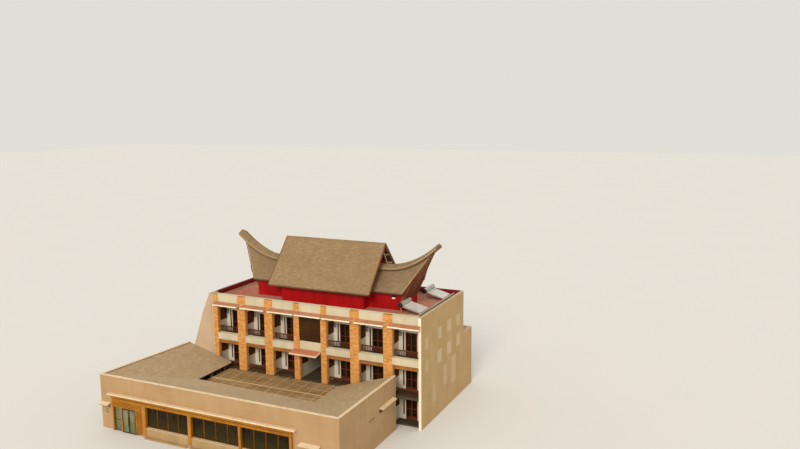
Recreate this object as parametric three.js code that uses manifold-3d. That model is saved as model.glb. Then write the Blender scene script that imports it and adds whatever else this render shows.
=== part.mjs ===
// A three-storey guest house crowned by a red penthouse with a tongkonan roof, and a low
// U-shaped block around a covered court in front of it. Lengths are in millimetres, +Z is up.
// X runs along the front with 0 at the outer face of the right wall, Y runs back with 0 at
// the front of the stone piers, and Z is 0 at the ground.
import * as THREE from 'three';
import { mergeVertices } from 'three/addons/utils/BufferGeometryUtils.js';
import Module from 'manifold-3d';

const wasm = await Module();
wasm.setup();

const fitGap = 0.3;
// Joined pieces lap by this much, and cutters run past the faces they cut by the other.
const lap = 1;
const cutOver = 100;

// Room block: overall size, storeys and walls.
const leftFaceX = -23400;
const blockDepth = 10900;
const wallThickness = 250;
const wallTopZ = 10500;
const slabThickness = 250;
const groundFloorZ = 150;
const secondFloorZ = 3000;
const thirdFloorZ = 6300;
const terraceZ = 9900;

// A raking fin of wall splays out from the front left corner, in the plane of the front.
const finThickness = 250;
const finTopZ = 10350;
const finSide = [[-24230, 8470], [-24850, 6700], [-25470, 4930], [-27200, 0]];

// Rear wall: one window a bay and storey.
const rearWindowWidth = 1200;
const rearWindowSill = 900;
const rearWindowHeight = 1200;

// Stone piers, from left to right.
const pierDepth = 400;
const narrowPier = 520;
const wingPier = 900;
const stairPier = 600;
const pierLefts = [-22900, -19920, -16720, -13360, -10360, -7200, -3760];
const pierWidths = [narrowPier, wingPier, wingPier, stairPier, stairPier, wingPier, wingPier];
const stairBay = 3;

// Balconies between the piers.
const edgeThickness = 100;
const edgeRearY = pierDepth + edgeThickness;
const roomWallY = 1600;
const roomWallThickness = 150;
const partitionInset = 100;
const doorOffset = 620;
const doorWidth = 1160;
const doorHeight = 2250;
const slitOffset = 340;
const slitWidth = 140;
const slitSill = 450;
const louvreDepth = 40;
const louvreFrontGap = 130;
const louvreLength = 850;
const louvreSill = 1350;
const louvreTop = 2600;
const paneThickness = 25;
const paneLap = 50;
const passageDepth = 5200;
const passageDoorWidth = 1400;

// Edge beams, planters and railings of the balconies.
const beamDrop = 800;
const planterFrontY = -50;
const planterRearY = 380;
const planterBottom = -400;
const planterTop = 260;
const planterWall = 50;
const planterSoilDepth = 150;
const railThickness = 60;
const railGap = 20;
const thirdRailHeight = 880;
const secondRailHeight = 550;
const railBar = 70;
const railSlat = 45;
const railSlatCount = 16;

// Stair bay: louvred screen, white spandrel and small canopy.
const spandrelTopZ = 6920;
const screenFrontY = 110;
const screenThickness = 90;
const stairCanopyReach = 1000;
const stairCanopyRearZ = 6060;
const stairCanopyFrontZ = 5880;
const stairCanopyThickness = 120;

// Parapet panels and the awnings under them.
const panelFrontY = 60;
const panelBottomZ = 9550;
const awningReach = 500;
const awningOverlap = 220;
const awningRearZ = 9780;
const awningFrontZ = 9560;
const awningThickness = 120;

// Planting curbs on the terrace.
const curbInset = 620;
const curbThickness = 80;
const curbHeight = 430;

// Penthouse: a cross of a tall centre part and two lower end parts, about the middle.
const ridgeY = blockDepth / 2;
const centreX = leftFaceX / 2;
const centreHalfLength = 4610;
const centreHalfDepth = 2850;
const endHalfLength = 8200;
const endHalfDepth = 1750;
const redWallThickness = 150;
const endSideTopZ = 10800;

// Main roof over the centre part.
const mainHalfLength = 5600;
const mainEaveHalfSpan = 3700;
const mainEaveZ = 11650;
const mainRidgeZ = 15950;
const roofThickness = 130;

// Horn roofs over the end parts: the ridge rises outwards as a parabola.
const hornEaveHalfSpan = 2200;
const hornEaveZ = 11660;
const hornEaveEnd = 8330;
const hornTipEnd = 10980;
const hornRidgeLowZ = 13750;
const hornRidgeRise = 2150;
const hornLowEnd = 6000;
const hornVergePower = 1.04;
const hornLengthSteps = 12;
const hornSlopeSteps = 4;
const capHalfWidth = 700;
const capFall = 300;
const capThickness = 180;
const capOverrun = 250;
const gablePlateThickness = 100;
const gableLean = 0.5;

// Solar water heaters on the terrace.
const tankRadius = 240;
const tankLength = 2200;
const tankX = -3200;
const tankZ = 10800;
const heaterFrontYs = [2500, 8250];
const panelEndX = -1200;
const panelEndZ = 10200;
const panelThickness = 90;
const panelInset = 100;
const panelStartShare = 0.5;
const heaterLeg = 60;

// Low annex behind the right end.
const annexWidth = 6000;
const annexRearY = 13400;
const annexTopZ = 6130;
const annexRoofThickness = 180;

// Front block around the court.
const frontLeftX = -27300;
const frontRightX = -2250;
const frontFaceY = -11000;
const frontWall = 200;
const frontTopZ = 5100;
const frontRoofEdgeZ = 5020;
const wingRearY = -600;
const leftWingRearX = -26250;
const wingRoofThickness = 180;
const courtLeftX = -21000;
const courtRightX = -8150;
const courtLeftFrontY = -5500;
const courtRightFrontY = -4900;
const courtLeftEaveZ = 3700;
const courtRightEaveZ = 3200;

// Court: posts and the flat slatted roof between them.
const postSize = 200;
const ledgerBottomZ = 2750;
const courtRoofTopZ = 3000;
const courtRoofThickness = 70;
const courtLedgerX = -8350;
const courtRibCount = 10;
const courtRib = 90;
const courtRibRise = 15;
const courtRoofOverrun = 500;
const courtFrontPostShares = [1 / 3, 2 / 3];

// Shopfront in the front wall.
const frameFrontY = -11200;
const frameRearY = -10950;
const doorHeadZ = 2300;
const fasciaBottomZ = 2850;
const fasciaTopZ = 3400;
const shopLeftX = -25850;
const shopRightX = -6550;
const doorLeftX = -24680;
const doorRightX = -23080;
const jambWidth = 150;
const postLefts = [-22320, -17190, -11850, -6800];
const postWidths = [430, 370, 250, 250];
const panesPerBay = 4;
const mullion = 70;
const sillZ = 950;
const troughTopZ = 850;
const troughWall = 80;
const plinthFrontY = -11550;
const plinthTopZ = 120;
const ledgeLeftX = -26230;
const ledgeRightX = -6180;
const ledgeReach = 150;
const ledgeThickness = 120;

// Small windows under hoods in the front block's walls.
const leftWindowX = -26950;
const leftWindowWidth = 550;
const leftWindowZ = 1350;
const leftWindowHeight = 950;
const rightWindowX = -5500;
const rightWindowWidth = 1150;
const rightWindowZ = 1450;
const rightWindowHeight = 800;
const sideWindowY = -3900;
const sideWindowWidth = 2600;
const sideWindowZ = 2850;
const sideWindowHeight = 300;
const hoodThickness = 90;
const frontHoodReach = 450;
const frontHoodRise = 150;
const sideHoodReach = 420;
const sideHoodRise = 60;
const leftHoodOverhang = 230;
const rightHoodOverhang = 380;
const sideHoodOverhang = 100;

// Glazed door leaves.
const doorGap = 6;
const leafThickness = 50;
const leafBottomZ = 20;
const leafStile = 90;
const leafPane = 12;
const handleHeight = 900;
const handleBar = 30;
const handleReach = 60;
const barrelHeight = 110;
const barrelZs = [250, 1150, 2000];
const barrelSides = 12;

const colours = {
  plaster: 0xb29469, cream: 0xe1d2b4, stone: 0xe6a055, shingle: 0xa58764, wingShingle: 0xb49b7d,
  crimson: 0xa50f1e, timber: 0xbe6e1e, darkTimber: 0x3c230f, terracotta: 0xcd6e50, tan: 0xc8a06e,
  glass: 0x27302a, metal: 0x9a9a9a, slats: 0x826441, floor: 0x9a8f80, gable: 0x6e2f1c,
};

function finish(colour, roughness = 0.85, metalness = 0) {
  return new THREE.MeshStandardMaterial({ color: colours[colour], roughness, metalness });
}

// Turns a closed three.js geometry into a solid that can be joined and cut.
function solidOf(geometry) {
  const bare = geometry.clone();
  bare.deleteAttribute('normal');
  bare.deleteAttribute('uv');
  const merged = mergeVertices(bare, 1e-3);
  const vertProperties = new Float32Array(merged.attributes.position.array);
  const triVerts = new Uint32Array(merged.index.array);
  return new wasm.Manifold(new wasm.Mesh({ numProp: 3, vertProperties, triVerts }));
}

function box(x0, x1, y0, y1, z0, z1) {
  const geometry = new THREE.BoxGeometry(x1 - x0, y1 - y0, z1 - z0);
  geometry.translate((x0 + x1) / 2, (y0 + y1) / 2, (z0 + z1) / 2);
  return solidOf(geometry);
}

// A profile in the plane across one axis, drawn from one end of the axis to the other.
function prism(axis, points, from, to) {
  const shape = new THREE.Shape(points.map(([a, b]) => new THREE.Vector2(a, b)));
  const geometry = new THREE.ExtrudeGeometry(shape, { depth: to - from, bevelEnabled: false });
  geometry.translate(0, 0, from);
  const turn = new THREE.Matrix4();
  if (axis === 'x') {
    turn.set(0, 0, 1, 0, 1, 0, 0, 0, 0, 1, 0, 0, 0, 0, 0, 1);
  } else if (axis === 'y') {
    turn.set(1, 0, 0, 0, 0, 0, 1, 0, 0, 1, 0, 0, 0, 0, 0, 1);
  }
  geometry.applyMatrix4(turn);
  if (turn.determinant() < 0) flipFaces(geometry);
  return solidOf(geometry);
}

// Swaps two corners of every triangle of an extrusion that a mirroring turn left inside out.
function flipFaces(geometry) {
  const position = geometry.attributes.position;
  const spare = new THREE.Vector3();
  const other = new THREE.Vector3();
  for (let face = 0; face < position.count; face += 3) {
    spare.fromBufferAttribute(position, face + 1);
    other.fromBufferAttribute(position, face + 2);
    position.setXYZ(face + 1, other.x, other.y, other.z);
    position.setXYZ(face + 2, spare.x, spare.y, spare.z);
  }
}

// A closed solid between two grids of points of the same size, the upper one and the lower one.
function shell(upper, lower) {
  const rows = upper.length;
  const columns = upper[0].length;
  const last = columns - 1;
  const positions = [];
  for (const grid of [upper, lower]) {
    for (const row of grid) {
      for (const point of row) positions.push(...point);
    }
  }
  const top = (i, j) => i * columns + j;
  const bottom = (i, j) => rows * columns + i * columns + j;
  const faces = [];
  const quad = (a, b, c, d) => faces.push(a, b, c, a, c, d);
  for (let i = 0; i < rows - 1; i += 1) {
    for (let j = 0; j < columns - 1; j += 1) {
      quad(top(i, j), top(i + 1, j), top(i + 1, j + 1), top(i, j + 1));
      quad(bottom(i, j), bottom(i, j + 1), bottom(i + 1, j + 1), bottom(i + 1, j));
    }
  }
  for (let i = 0; i < rows - 1; i += 1) {
    quad(top(i, 0), bottom(i, 0), bottom(i + 1, 0), top(i + 1, 0));
    quad(top(i + 1, last), bottom(i + 1, last), bottom(i, last), top(i, last));
  }
  const end = rows - 1;
  for (let j = 0; j < columns - 1; j += 1) {
    quad(top(0, j + 1), bottom(0, j + 1), bottom(0, j), top(0, j));
    quad(top(end, j), bottom(end, j), bottom(end, j + 1), top(end, j + 1));
  }
  const geometry = new THREE.BufferGeometry();
  geometry.setAttribute('position', new THREE.Float32BufferAttribute(positions, 3));
  geometry.setIndex(faces);
  return solidOf(geometry);
}

function join(solids) {
  return solids.reduce((whole, solid) => whole.add(solid));
}

const building = new THREE.Group();

function place(name, solid, material) {
  const mesh = solid.getMesh();
  const geometry = new THREE.BufferGeometry();
  geometry.setAttribute('position', new THREE.BufferAttribute(mesh.vertProperties, 3));
  geometry.setIndex(new THREE.BufferAttribute(mesh.triVerts, 1));
  geometry.computeVertexNormals();
  const node = new THREE.Mesh(geometry, material);
  node.name = name;
  building.add(node);
}

const innerLeftX = leftFaceX + wallThickness;
const innerRightX = -wallThickness;
const innerRearY = blockDepth - wallThickness;

// Each bay runs from the right edge of its pier to the next pier or to the right wall.
const bays = pierLefts.map((left, i) => ({
  left: left + pierWidths[i],
  right: i + 1 < pierLefts.length ? pierLefts[i + 1] : innerRightX,
}));

function outerWalls() {
  const finShape = [[leftFaceX + lap, finTopZ], ...finSide, [leftFaceX + lap, 0]];
  const fin = prism('y', finShape, 0, finThickness);
  const left = box(leftFaceX, innerLeftX, 0, blockDepth, 0, wallTopZ);
  place('left_wall', left.add(fin), finish('cream'));
  place('right_wall', box(innerRightX, 0, 0, blockDepth, 0, wallTopZ), finish('plaster'));
  let rear = box(innerLeftX, innerRightX, innerRearY, blockDepth, 0, wallTopZ);
  for (const floorZ of [groundFloorZ, secondFloorZ, thirdFloorZ]) {
    for (const bay of bays) {
      const middle = (bay.left + bay.right) / 2;
      const blocked = floorZ < thirdFloorZ && middle > -annexWidth;
      if (blocked) continue;
      rear = rear.subtract(box(
        middle - rearWindowWidth / 2, middle + rearWindowWidth / 2,
        innerRearY - cutOver, blockDepth + cutOver,
        floorZ + rearWindowSill, floorZ + rearWindowSill + rearWindowHeight,
      ));
    }
  }
  place('rear_wall', rear, finish('plaster'));
  place('rear_glass', box(
    innerLeftX, innerRightX, innerRearY - paneThickness, innerRearY, 0, terraceZ,
  ), finish('glass', 0.15));
}

function floors() {
  const rearY = innerRearY - paneThickness;
  const slab = (topZ) => box(
    innerLeftX, innerRightX, edgeRearY, rearY, topZ - slabThickness, topZ,
  );
  const ground = box(innerLeftX, innerRightX, edgeRearY, rearY, 0, groundFloorZ);
  place('ground_floor', ground, finish('floor'));
  const edge = box(
    innerLeftX, innerRightX, pierDepth, edgeRearY, secondFloorZ - slabThickness, secondFloorZ,
  );
  const lips = bays.map((bay) => box(
    bay.left, bay.right, 0, pierDepth, secondFloorZ - slabThickness, secondFloorZ,
  ));
  place('second_floor', join([slab(secondFloorZ), edge, ...lips]), finish('floor'));
  place('third_floor', slab(thirdFloorZ), finish('floor'));
  place('terrace', slab(terraceZ), finish('floor'));
}

function piers() {
  pierLefts.forEach((left, i) => {
    const pier = box(left, left + pierWidths[i], 0, pierDepth, 0, wallTopZ);
    place(`pier_${i + 1}`, pier, finish('stone'));
  });
}

// One wall a storey behind the balconies, with a return wall behind each pier.
function roomWall(floorZ, ceilingZ, passage) {
  const rearY = roomWallY + roomWallThickness;
  let wall = box(innerLeftX, innerRightX, roomWallY, rearY, floorZ, ceilingZ);
  pierLefts.forEach((left, i) => {
    const from = i === 0 ? innerLeftX : left + partitionInset;
    const to = left + pierWidths[i] - partitionInset;
    wall = wall.add(box(from, to, edgeRearY, roomWallY, floorZ, ceilingZ));
    const louvre = box(
      to - louvreDepth, to + cutOver, edgeRearY + louvreFrontGap,
      edgeRearY + louvreFrontGap + louvreLength, floorZ + louvreSill, floorZ + louvreTop,
    );
    wall = wall.subtract(louvre);
  });
  bays.forEach((bay, i) => {
    if (i === stairBay) return;
    const doorLeft = bay.left + doorOffset;
    wall = wall.subtract(box(
      doorLeft, doorLeft + doorWidth, roomWallY - cutOver, rearY + cutOver,
      floorZ - cutOver, floorZ + doorHeight,
    ));
    const slitLeft = bay.left + slitOffset;
    wall = wall.subtract(box(
      slitLeft, slitLeft + slitWidth, roomWallY - cutOver, rearY + cutOver,
      floorZ + slitSill, floorZ + doorHeight,
    ));
  });
  return passage ? withPassage(wall, floorZ, ceilingZ) : wall;
}

// The stair bay of the second storey is a passage that runs back into the block.
function withPassage(wall, floorZ, ceilingZ) {
  const bay = bays[stairBay];
  const left = bay.left - partitionInset;
  const right = bay.right + partitionInset;
  const thickness = roomWallThickness;
  const shellBox = box(
    left - thickness, right + thickness, roomWallY, passageDepth + thickness, floorZ, ceilingZ,
  );
  const hollow = box(
    left, right, roomWallY - cutOver, passageDepth, floorZ - cutOver, ceilingZ + cutOver,
  );
  const middle = (left + right) / 2;
  const doorway = box(
    middle - passageDoorWidth / 2, middle + passageDoorWidth / 2,
    passageDepth - cutOver, passageDepth + thickness + cutOver,
    floorZ - cutOver, floorZ + doorHeight,
  );
  return wall.add(shellBox).subtract(hollow).subtract(doorway);
}

function roomFronts() {
  const rearY = roomWallY + roomWallThickness;
  const storeys = [
    ['ground', groundFloorZ, secondFloorZ - slabThickness],
    ['second', secondFloorZ, thirdFloorZ - slabThickness],
    ['third', thirdFloorZ, terraceZ - slabThickness],
  ];
  for (const [name, floorZ, ceilingZ] of storeys) {
    const passage = name === 'second';
    place(`${name}_room_wall`, roomWall(floorZ, ceilingZ, passage), finish('cream'));
    const bay = bays[stairBay];
    const passageLeft = bay.left - partitionInset - roomWallThickness;
    const paneTopZ = floorZ + doorHeight + paneLap;
    const rightEnd = passage ? passageLeft : innerRightX;
    const pane = box(innerLeftX, rightEnd, rearY, rearY + paneThickness, floorZ, paneTopZ);
    if (passage) {
      const passageRight = bay.right + partitionInset + roomWallThickness;
      const rightPane = box(
        passageRight, innerRightX, rearY, rearY + paneThickness, floorZ, paneTopZ,
      );
      place('second_right_glass', rightPane, finish('glass', 0.15));
    }
    place(`${name}_glass`, pane, finish('glass', 0.15));
  }
}

function planter(bay) {
  const bottom = thirdFloorZ + planterBottom;
  const top = thirdFloorZ + planterTop;
  const body = box(bay.left, bay.right, planterFrontY, planterRearY, bottom, top);
  const soil = box(
    bay.left + planterWall, bay.right - planterWall, planterFrontY + planterWall,
    planterRearY - planterWall, top - planterSoilDepth, top + cutOver,
  );
  return body.subtract(soil);
}

// The third floor's edge beam carries a planter in each bay and the spandrel of the stair bay.
function thirdFloorEdge() {
  const bottomZ = thirdFloorZ - beamDrop;
  const parts = [box(innerLeftX, innerRightX, pierDepth, edgeRearY, bottomZ, thirdFloorZ)];
  bays.forEach((bay, i) => {
    if (i === stairBay) {
      parts.push(box(bay.left, bay.right, panelFrontY, pierDepth, stairCanopyRearZ, spandrelTopZ));
      return;
    }
    const beamTopZ = thirdFloorZ + planterBottom;
    parts.push(box(bay.left, bay.right, panelFrontY, pierDepth, bottomZ, beamTopZ));
    parts.push(box(bay.left, bay.right, planterRearY - lap, pierDepth, beamTopZ, thirdFloorZ));
    parts.push(planter(bay));
  });
  place('third_floor_edge', join(parts), finish('cream'));
}

// A railing runs behind the piers, with slats only between them.
function railing(name, floorZ, height, fromX, toX) {
  const frontY = pierDepth + railGap;
  const rearY = frontY + railThickness;
  const topZ = floorZ + height;
  const parts = [
    box(fromX, toX, frontY, rearY, topZ - railBar, topZ),
    box(fromX, toX, frontY, rearY, floorZ, floorZ + railBar),
  ];
  for (const bay of bays) {
    const outside = bay.left < fromX - lap || bay.right > toX + lap;
    if (outside) continue;
    const pitch = (bay.right - bay.left) / (railSlatCount - 1);
    for (let slat = 0; slat < railSlatCount; slat += 1) {
      const middle = bay.left + slat * pitch;
      const left = Math.max(middle - railSlat / 2, fromX);
      const right = Math.min(middle + railSlat / 2, toX);
      parts.push(box(left, right, frontY, rearY, floorZ, topZ));
    }
  }
  place(name, join(parts), finish('darkTimber'));
}

// The second floor's railing stops at the piers beside the passage.
function railings() {
  railing('third_floor_railing', thirdFloorZ, thirdRailHeight, innerLeftX, innerRightX);
  const passage = bays[stairBay];
  railing('second_railing_left', secondFloorZ, secondRailHeight, innerLeftX, passage.left);
  railing('second_railing_right', secondFloorZ, secondRailHeight, passage.right, innerRightX);
}

function stairFront() {
  const bay = bays[stairBay];
  place('stair_screen', box(
    bay.left, bay.right, screenFrontY, screenFrontY + screenThickness, spandrelTopZ, panelBottomZ,
  ), finish('darkTimber'));
  const profile = [
    [0, stairCanopyRearZ], [-stairCanopyReach, stairCanopyFrontZ],
    [-stairCanopyReach, stairCanopyFrontZ - stairCanopyThickness],
    [0, stairCanopyRearZ - stairCanopyThickness],
  ];
  place('stair_canopy', prism(
    'x', profile, pierLefts[stairBay], bay.right,
  ), finish('terracotta'));
}

// The parapet stands behind the piers, with a panel and an awning in front in every bay.
function frontParapet() {
  const parts = [box(innerLeftX, innerRightX, pierDepth, edgeRearY, panelBottomZ, wallTopZ)];
  bays.forEach((bay) => {
    parts.push(box(bay.left, bay.right, panelFrontY, pierDepth, panelBottomZ, wallTopZ));
    parts.push(box(bay.left, bay.right, -lap, panelFrontY, panelBottomZ, awningRearZ));
    const awningBottomZ = awningFrontZ - awningThickness;
    const profile = [
      [0, awningRearZ], [-awningReach, awningFrontZ], [-awningReach, awningBottomZ], [0, awningBottomZ],
    ];
    const right = Math.min(bay.right + awningOverlap, 0);
    parts.push(prism('x', profile, bay.left - awningOverlap, right));
  });
  place('front_parapet', join(parts), finish('cream'));
}

function terraceCurbs() {
  const frontY = edgeRearY + curbInset;
  const rightX = innerRightX - curbInset;
  const topZ = terraceZ + curbHeight;
  const rearY = innerRearY - paneThickness;
  place('terrace_curbs', join([
    box(innerLeftX, rightX, frontY, frontY + curbThickness, terraceZ, topZ),
    box(rightX - curbThickness, rightX, frontY, rearY, terraceZ, topZ),
  ]), finish('cream'));
}

const mainSlope = (mainRidgeZ - mainEaveZ) / mainEaveHalfSpan;
const hornSlope = (hornRidgeLowZ - hornEaveZ) / hornEaveHalfSpan;

// Two crossing rings of wall. The end walls stop where the leaning gables begin, and the centre
// part has gables up to the main roof.
function penthouseWalls() {
  const centreUnderZ = mainEaveZ - roofThickness - fitGap;
  const endUnderZ = hornEaveZ - roofThickness - fitGap;
  const centreTopZ = centreUnderZ + (mainEaveHalfSpan - centreHalfDepth) * mainSlope;
  const endTopZ = endUnderZ + (hornEaveHalfSpan - endHalfDepth) * hornSlope;
  const block = (halfLength, halfDepth, z0, z1) => box(
    centreX - halfLength, centreX + halfLength, ridgeY - halfDepth, ridgeY + halfDepth, z0, z1,
  );
  const t = redWallThickness;
  const gable = [
    [ridgeY - centreHalfDepth, centreTopZ], [ridgeY + centreHalfDepth, centreTopZ],
    [ridgeY, mainRidgeZ - roofThickness - fitGap],
  ];
  const rightX = centreX + centreHalfLength;
  const leftX = centreX - centreHalfLength;
  const outer = block(centreHalfLength, centreHalfDepth, terraceZ, centreTopZ)
    .add(block(endHalfLength, endHalfDepth, terraceZ, endTopZ));
  const centreRoom = block(
    centreHalfLength - t, centreHalfDepth - t, terraceZ - cutOver, centreTopZ + cutOver,
  );
  const endRooms = block(endHalfLength - t, endHalfDepth - t, terraceZ - cutOver, endTopZ - t);
  const endHeads = block(
    endHalfLength + cutOver, endHalfDepth + cutOver, endSideTopZ, endTopZ + cutOver,
  ).subtract(block(endHalfLength - t, endHalfDepth + 2 * cutOver, 0, mainRidgeZ));
  const lofts = block(endHalfLength - t, endHalfDepth - t, endTopZ - t - lap, endTopZ + cutOver)
    .subtract(block(centreHalfLength + paneLap, centreHalfDepth, 0, mainRidgeZ));
  const walls = outer.subtract(centreRoom.add(endRooms)).subtract(endHeads).subtract(lofts)
    .add(prism('x', gable, rightX - t, rightX))
    .add(prism('x', gable, leftX, leftX + t));
  place('penthouse_walls', walls, finish('crimson'));
}

function mainRoof() {
  const front = ridgeY - mainEaveHalfSpan;
  const rear = ridgeY + mainEaveHalfSpan;
  const profile = [
    [front, mainEaveZ], [ridgeY, mainRidgeZ], [rear, mainEaveZ],
    [rear, mainEaveZ - roofThickness], [ridgeY, mainRidgeZ - roofThickness],
    [front, mainEaveZ - roofThickness],
  ];
  place('main_roof', prism(
    'x', profile, centreX - mainHalfLength, centreX + mainHalfLength,
  ), finish('shingle'));
}

function hornRidgeZ(out) {
  const run = (out - hornLowEnd) / (hornTipEnd - hornLowEnd);
  return hornRidgeLowZ + hornRidgeRise * Math.max(run, 0) ** 2;
}

// A horn's roof: rows run outwards, columns from the front eave over the ridge to the rear eave.
function hornSurface(side, dropZ, floorZ = null) {
  const rows = [];
  for (let i = 0; i <= hornLengthSteps; i += 1) {
    const along = i / hornLengthSteps;
    const ridgeOut = centreHalfLength + along * (hornTipEnd - centreHalfLength);
    const ridgeZ = hornRidgeZ(ridgeOut);
    const row = [];
    for (let j = -hornSlopeSteps; j <= hornSlopeSteps; j += 1) {
      const across = j / hornSlopeSteps;
      const away = Math.abs(across);
      const end = hornTipEnd + (hornEaveEnd - hornTipEnd) * away ** (1 / hornVergePower);
      const out = centreHalfLength + along * (end - centreHalfLength);
      const z = hornEaveZ + (ridgeZ - hornEaveZ) * (1 - away) - dropZ;
      row.push([centreX + side * out, ridgeY + across * hornEaveHalfSpan, floorZ ?? z]);
    }
    rows.push(side > 0 ? row : row.reverse());
  }
  return rows;
}

function hornRoof(side) {
  return shell(hornSurface(side, 0), hornSurface(side, roofThickness));
}

// The boarded gable of a horn leans outwards from the end wall to the underside of the roof.
function hornGable(side) {
  const endX = centreX + side * endHalfLength;
  const rise = hornRidgeLowZ + hornRidgeRise - endSideTopZ;
  const topX = endX + side * rise * gableLean;
  const topZ = endSideTopZ + rise;
  const back = side * gablePlateThickness;
  const profile = [
    [endX - back, endSideTopZ], [endX, endSideTopZ], [topX, topZ], [topX - back, topZ],
  ];
  const plate = prism(
    'y', profile, ridgeY - endHalfDepth, ridgeY + endHalfDepth,
  );
  const under = shell(
    hornSurface(side, roofThickness + fitGap), hornSurface(side, 0, endSideTopZ),
  );
  return plate.intersect(under);
}

// The ridge cap is a shallow saddle that follows the ridge and overruns the tip.
function hornCap(side) {
  const run = hornTipEnd - centreHalfLength;
  const stations = Array.from({ length: hornLengthSteps + 1 }, (unused, i) => (
    centreHalfLength + run * i / hornLengthSteps
  ));
  stations.push(hornTipEnd + capOverrun);
  const surface = (drop) => stations.map((out) => {
    const crown = hornRidgeZ(out) + capThickness + fitGap - drop;
    const row = [-1, 0, 1].map((across) => [
      centreX + side * out, ridgeY + across * capHalfWidth, crown - Math.abs(across) * capFall,
    ]);
    return side > 0 ? row : row.reverse();
  });
  return shell(surface(0), surface(capThickness));
}

function horns() {
  for (const [name, side] of [['left', -1], ['right', 1]]) {
    place(`${name}_horn_roof`, hornRoof(side), finish('shingle'));
    place(`${name}_ridge_cap`, hornCap(side), finish('shingle'));
    place(`${name}_horn_gable`, hornGable(side), finish('gable'));
  }
}

// A tank lying along Y with a collector panel that slopes down towards the right wall.
function solarHeater(frontY) {
  const tank = new THREE.CylinderGeometry(tankRadius, tankRadius, tankLength, 16);
  tank.translate(tankX, frontY + tankLength / 2, tankZ);
  const rearY = frontY + tankLength;
  const panelStartX = tankX + tankRadius * panelStartShare;
  const panelStartZ = tankZ - tankRadius * panelStartShare;
  const profile = [
    [panelStartX, panelStartZ], [panelEndX, panelEndZ],
    [panelEndX, panelEndZ - panelThickness], [panelStartX, panelStartZ - panelThickness],
  ];
  const parts = [solidOf(tank), prism('y', profile, frontY + panelInset, rearY - panelInset)];
  const half = heaterLeg / 2;
  const lowLegX = panelEndX - heaterLeg;
  for (const legY of [frontY + 2 * panelInset, rearY - 2 * panelInset - heaterLeg]) {
    const legRearY = legY + heaterLeg;
    parts.push(box(tankX - half, tankX + half, legY, legRearY, terraceZ, tankZ));
    parts.push(box(
      lowLegX - heaterLeg, lowLegX, legY, legRearY, terraceZ, panelEndZ - panelThickness / 2,
    ));
    parts.push(box(tankX, lowLegX, legY, legRearY, terraceZ, terraceZ + heaterLeg));
  }
  return join(parts);
}

function heaters() {
  place('front_solar_heater', solarHeater(heaterFrontYs[0]), finish('metal', 0.4, 0.6));
  place('rear_solar_heater', solarHeater(heaterFrontYs[1]), finish('metal', 0.4, 0.6));
}

function annex() {
  const outer = box(-annexWidth, 0, blockDepth, annexRearY, 0, annexTopZ);
  const inner = box(
    -annexWidth + wallThickness, -wallThickness, blockDepth - cutOver, annexRearY - wallThickness,
    -cutOver, annexTopZ - annexRoofThickness,
  );
  place('annex', outer.subtract(inner), finish('plaster'));
}

// A shallow hood over a window: its profile falls by the rise from the wall face to its lip.
function hood(axis, face, lip, rise, z, from, to) {
  const profile = [
    [face, z + rise], [lip, z], [lip, z - hoodThickness], [face, z + rise - hoodThickness],
  ];
  return prism(axis, profile, from, to);
}

// Cuts a small window through a piece of the front wall and hangs its hood over it.
function hoodedWall(wall, left, width, sillAt, height, overhang) {
  const rearY = frontFaceY + frontWall;
  const opening = box(
    left, left + width, frontFaceY - cutOver, rearY + cutOver, sillAt, sillAt + height,
  );
  const hoodZ = sillAt + height + hoodThickness;
  const top = hood(
    'x', frontFaceY, frontFaceY - frontHoodReach, frontHoodRise, hoodZ,
    Math.max(left - overhang, frontLeftX), left + width + overhang,
  );
  return wall.subtract(opening).add(top);
}

function frontWalls() {
  const rearY = frontFaceY + frontWall;
  place('front_wall_left', hoodedWall(
    box(frontLeftX, shopLeftX, frontFaceY, rearY, 0, fasciaTopZ),
    leftWindowX, leftWindowWidth, leftWindowZ, leftWindowHeight, leftHoodOverhang,
  ), finish('tan'));
  place('front_wall_right', hoodedWall(
    box(shopRightX, frontRightX, frontFaceY, rearY, 0, fasciaTopZ),
    rightWindowX, rightWindowWidth, rightWindowZ, rightWindowHeight, rightHoodOverhang,
  ), finish('tan'));
  place('front_wall_upper', box(
    frontLeftX, frontRightX, frontFaceY, rearY, fasciaTopZ, frontTopZ,
  ), finish('tan'));
}

// Height of the right wing's roof at its rear edge, at a given distance across the wing.
function rightRoofZ(x) {
  const run = (x - rightInnerX) / (courtRightX - rightInnerX);
  return frontRoofEdgeZ + (courtRightEaveZ - frontRoofEdgeZ) * run;
}

function wingWalls() {
  const underZ = (x) => rightRoofZ(x) - wingRoofThickness - fitGap;
  const frontY = frontFaceY + frontWall;
  const leftPlan = [
    [frontLeftX, frontY], [frontLeftX + frontWall, frontY],
    [leftWingRearX + frontWall, 0], [leftWingRearX, 0],
  ];
  const finCut = prism('y', [...finSide, [-cutOver, 0], [-cutOver, finTopZ]], 0, finThickness);
  place('left_wing_wall', prism('z', leftPlan, 0, frontTopZ).subtract(finCut), finish('tan'));
  const rightRear = prism('y', [
    [courtRightX, 0], [rightInnerX, 0], [rightInnerX, underZ(rightInnerX)],
    [courtRightX, underZ(courtRightX)],
  ], wingRearY - frontWall, wingRearY);
  const sideWindow = box(
    rightInnerX - cutOver, frontRightX + cutOver, sideWindowY, sideWindowY + sideWindowWidth,
    sideWindowZ, sideWindowZ + sideWindowHeight,
  );
  const hoodZ = sideWindowZ + sideWindowHeight + hoodThickness;
  const sideHood = hood(
    'y', frontRightX, frontRightX + sideHoodReach, sideHoodRise, hoodZ,
    sideWindowY - sideHoodOverhang, sideWindowY + sideWindowWidth + sideHoodOverhang,
  );
  place('right_wing_wall', box(
    rightInnerX, frontRightX, frontY, wingRearY, 0, frontTopZ,
  ).add(rightRear).subtract(sideWindow).add(sideHood), finish('tan'));
}

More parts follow.
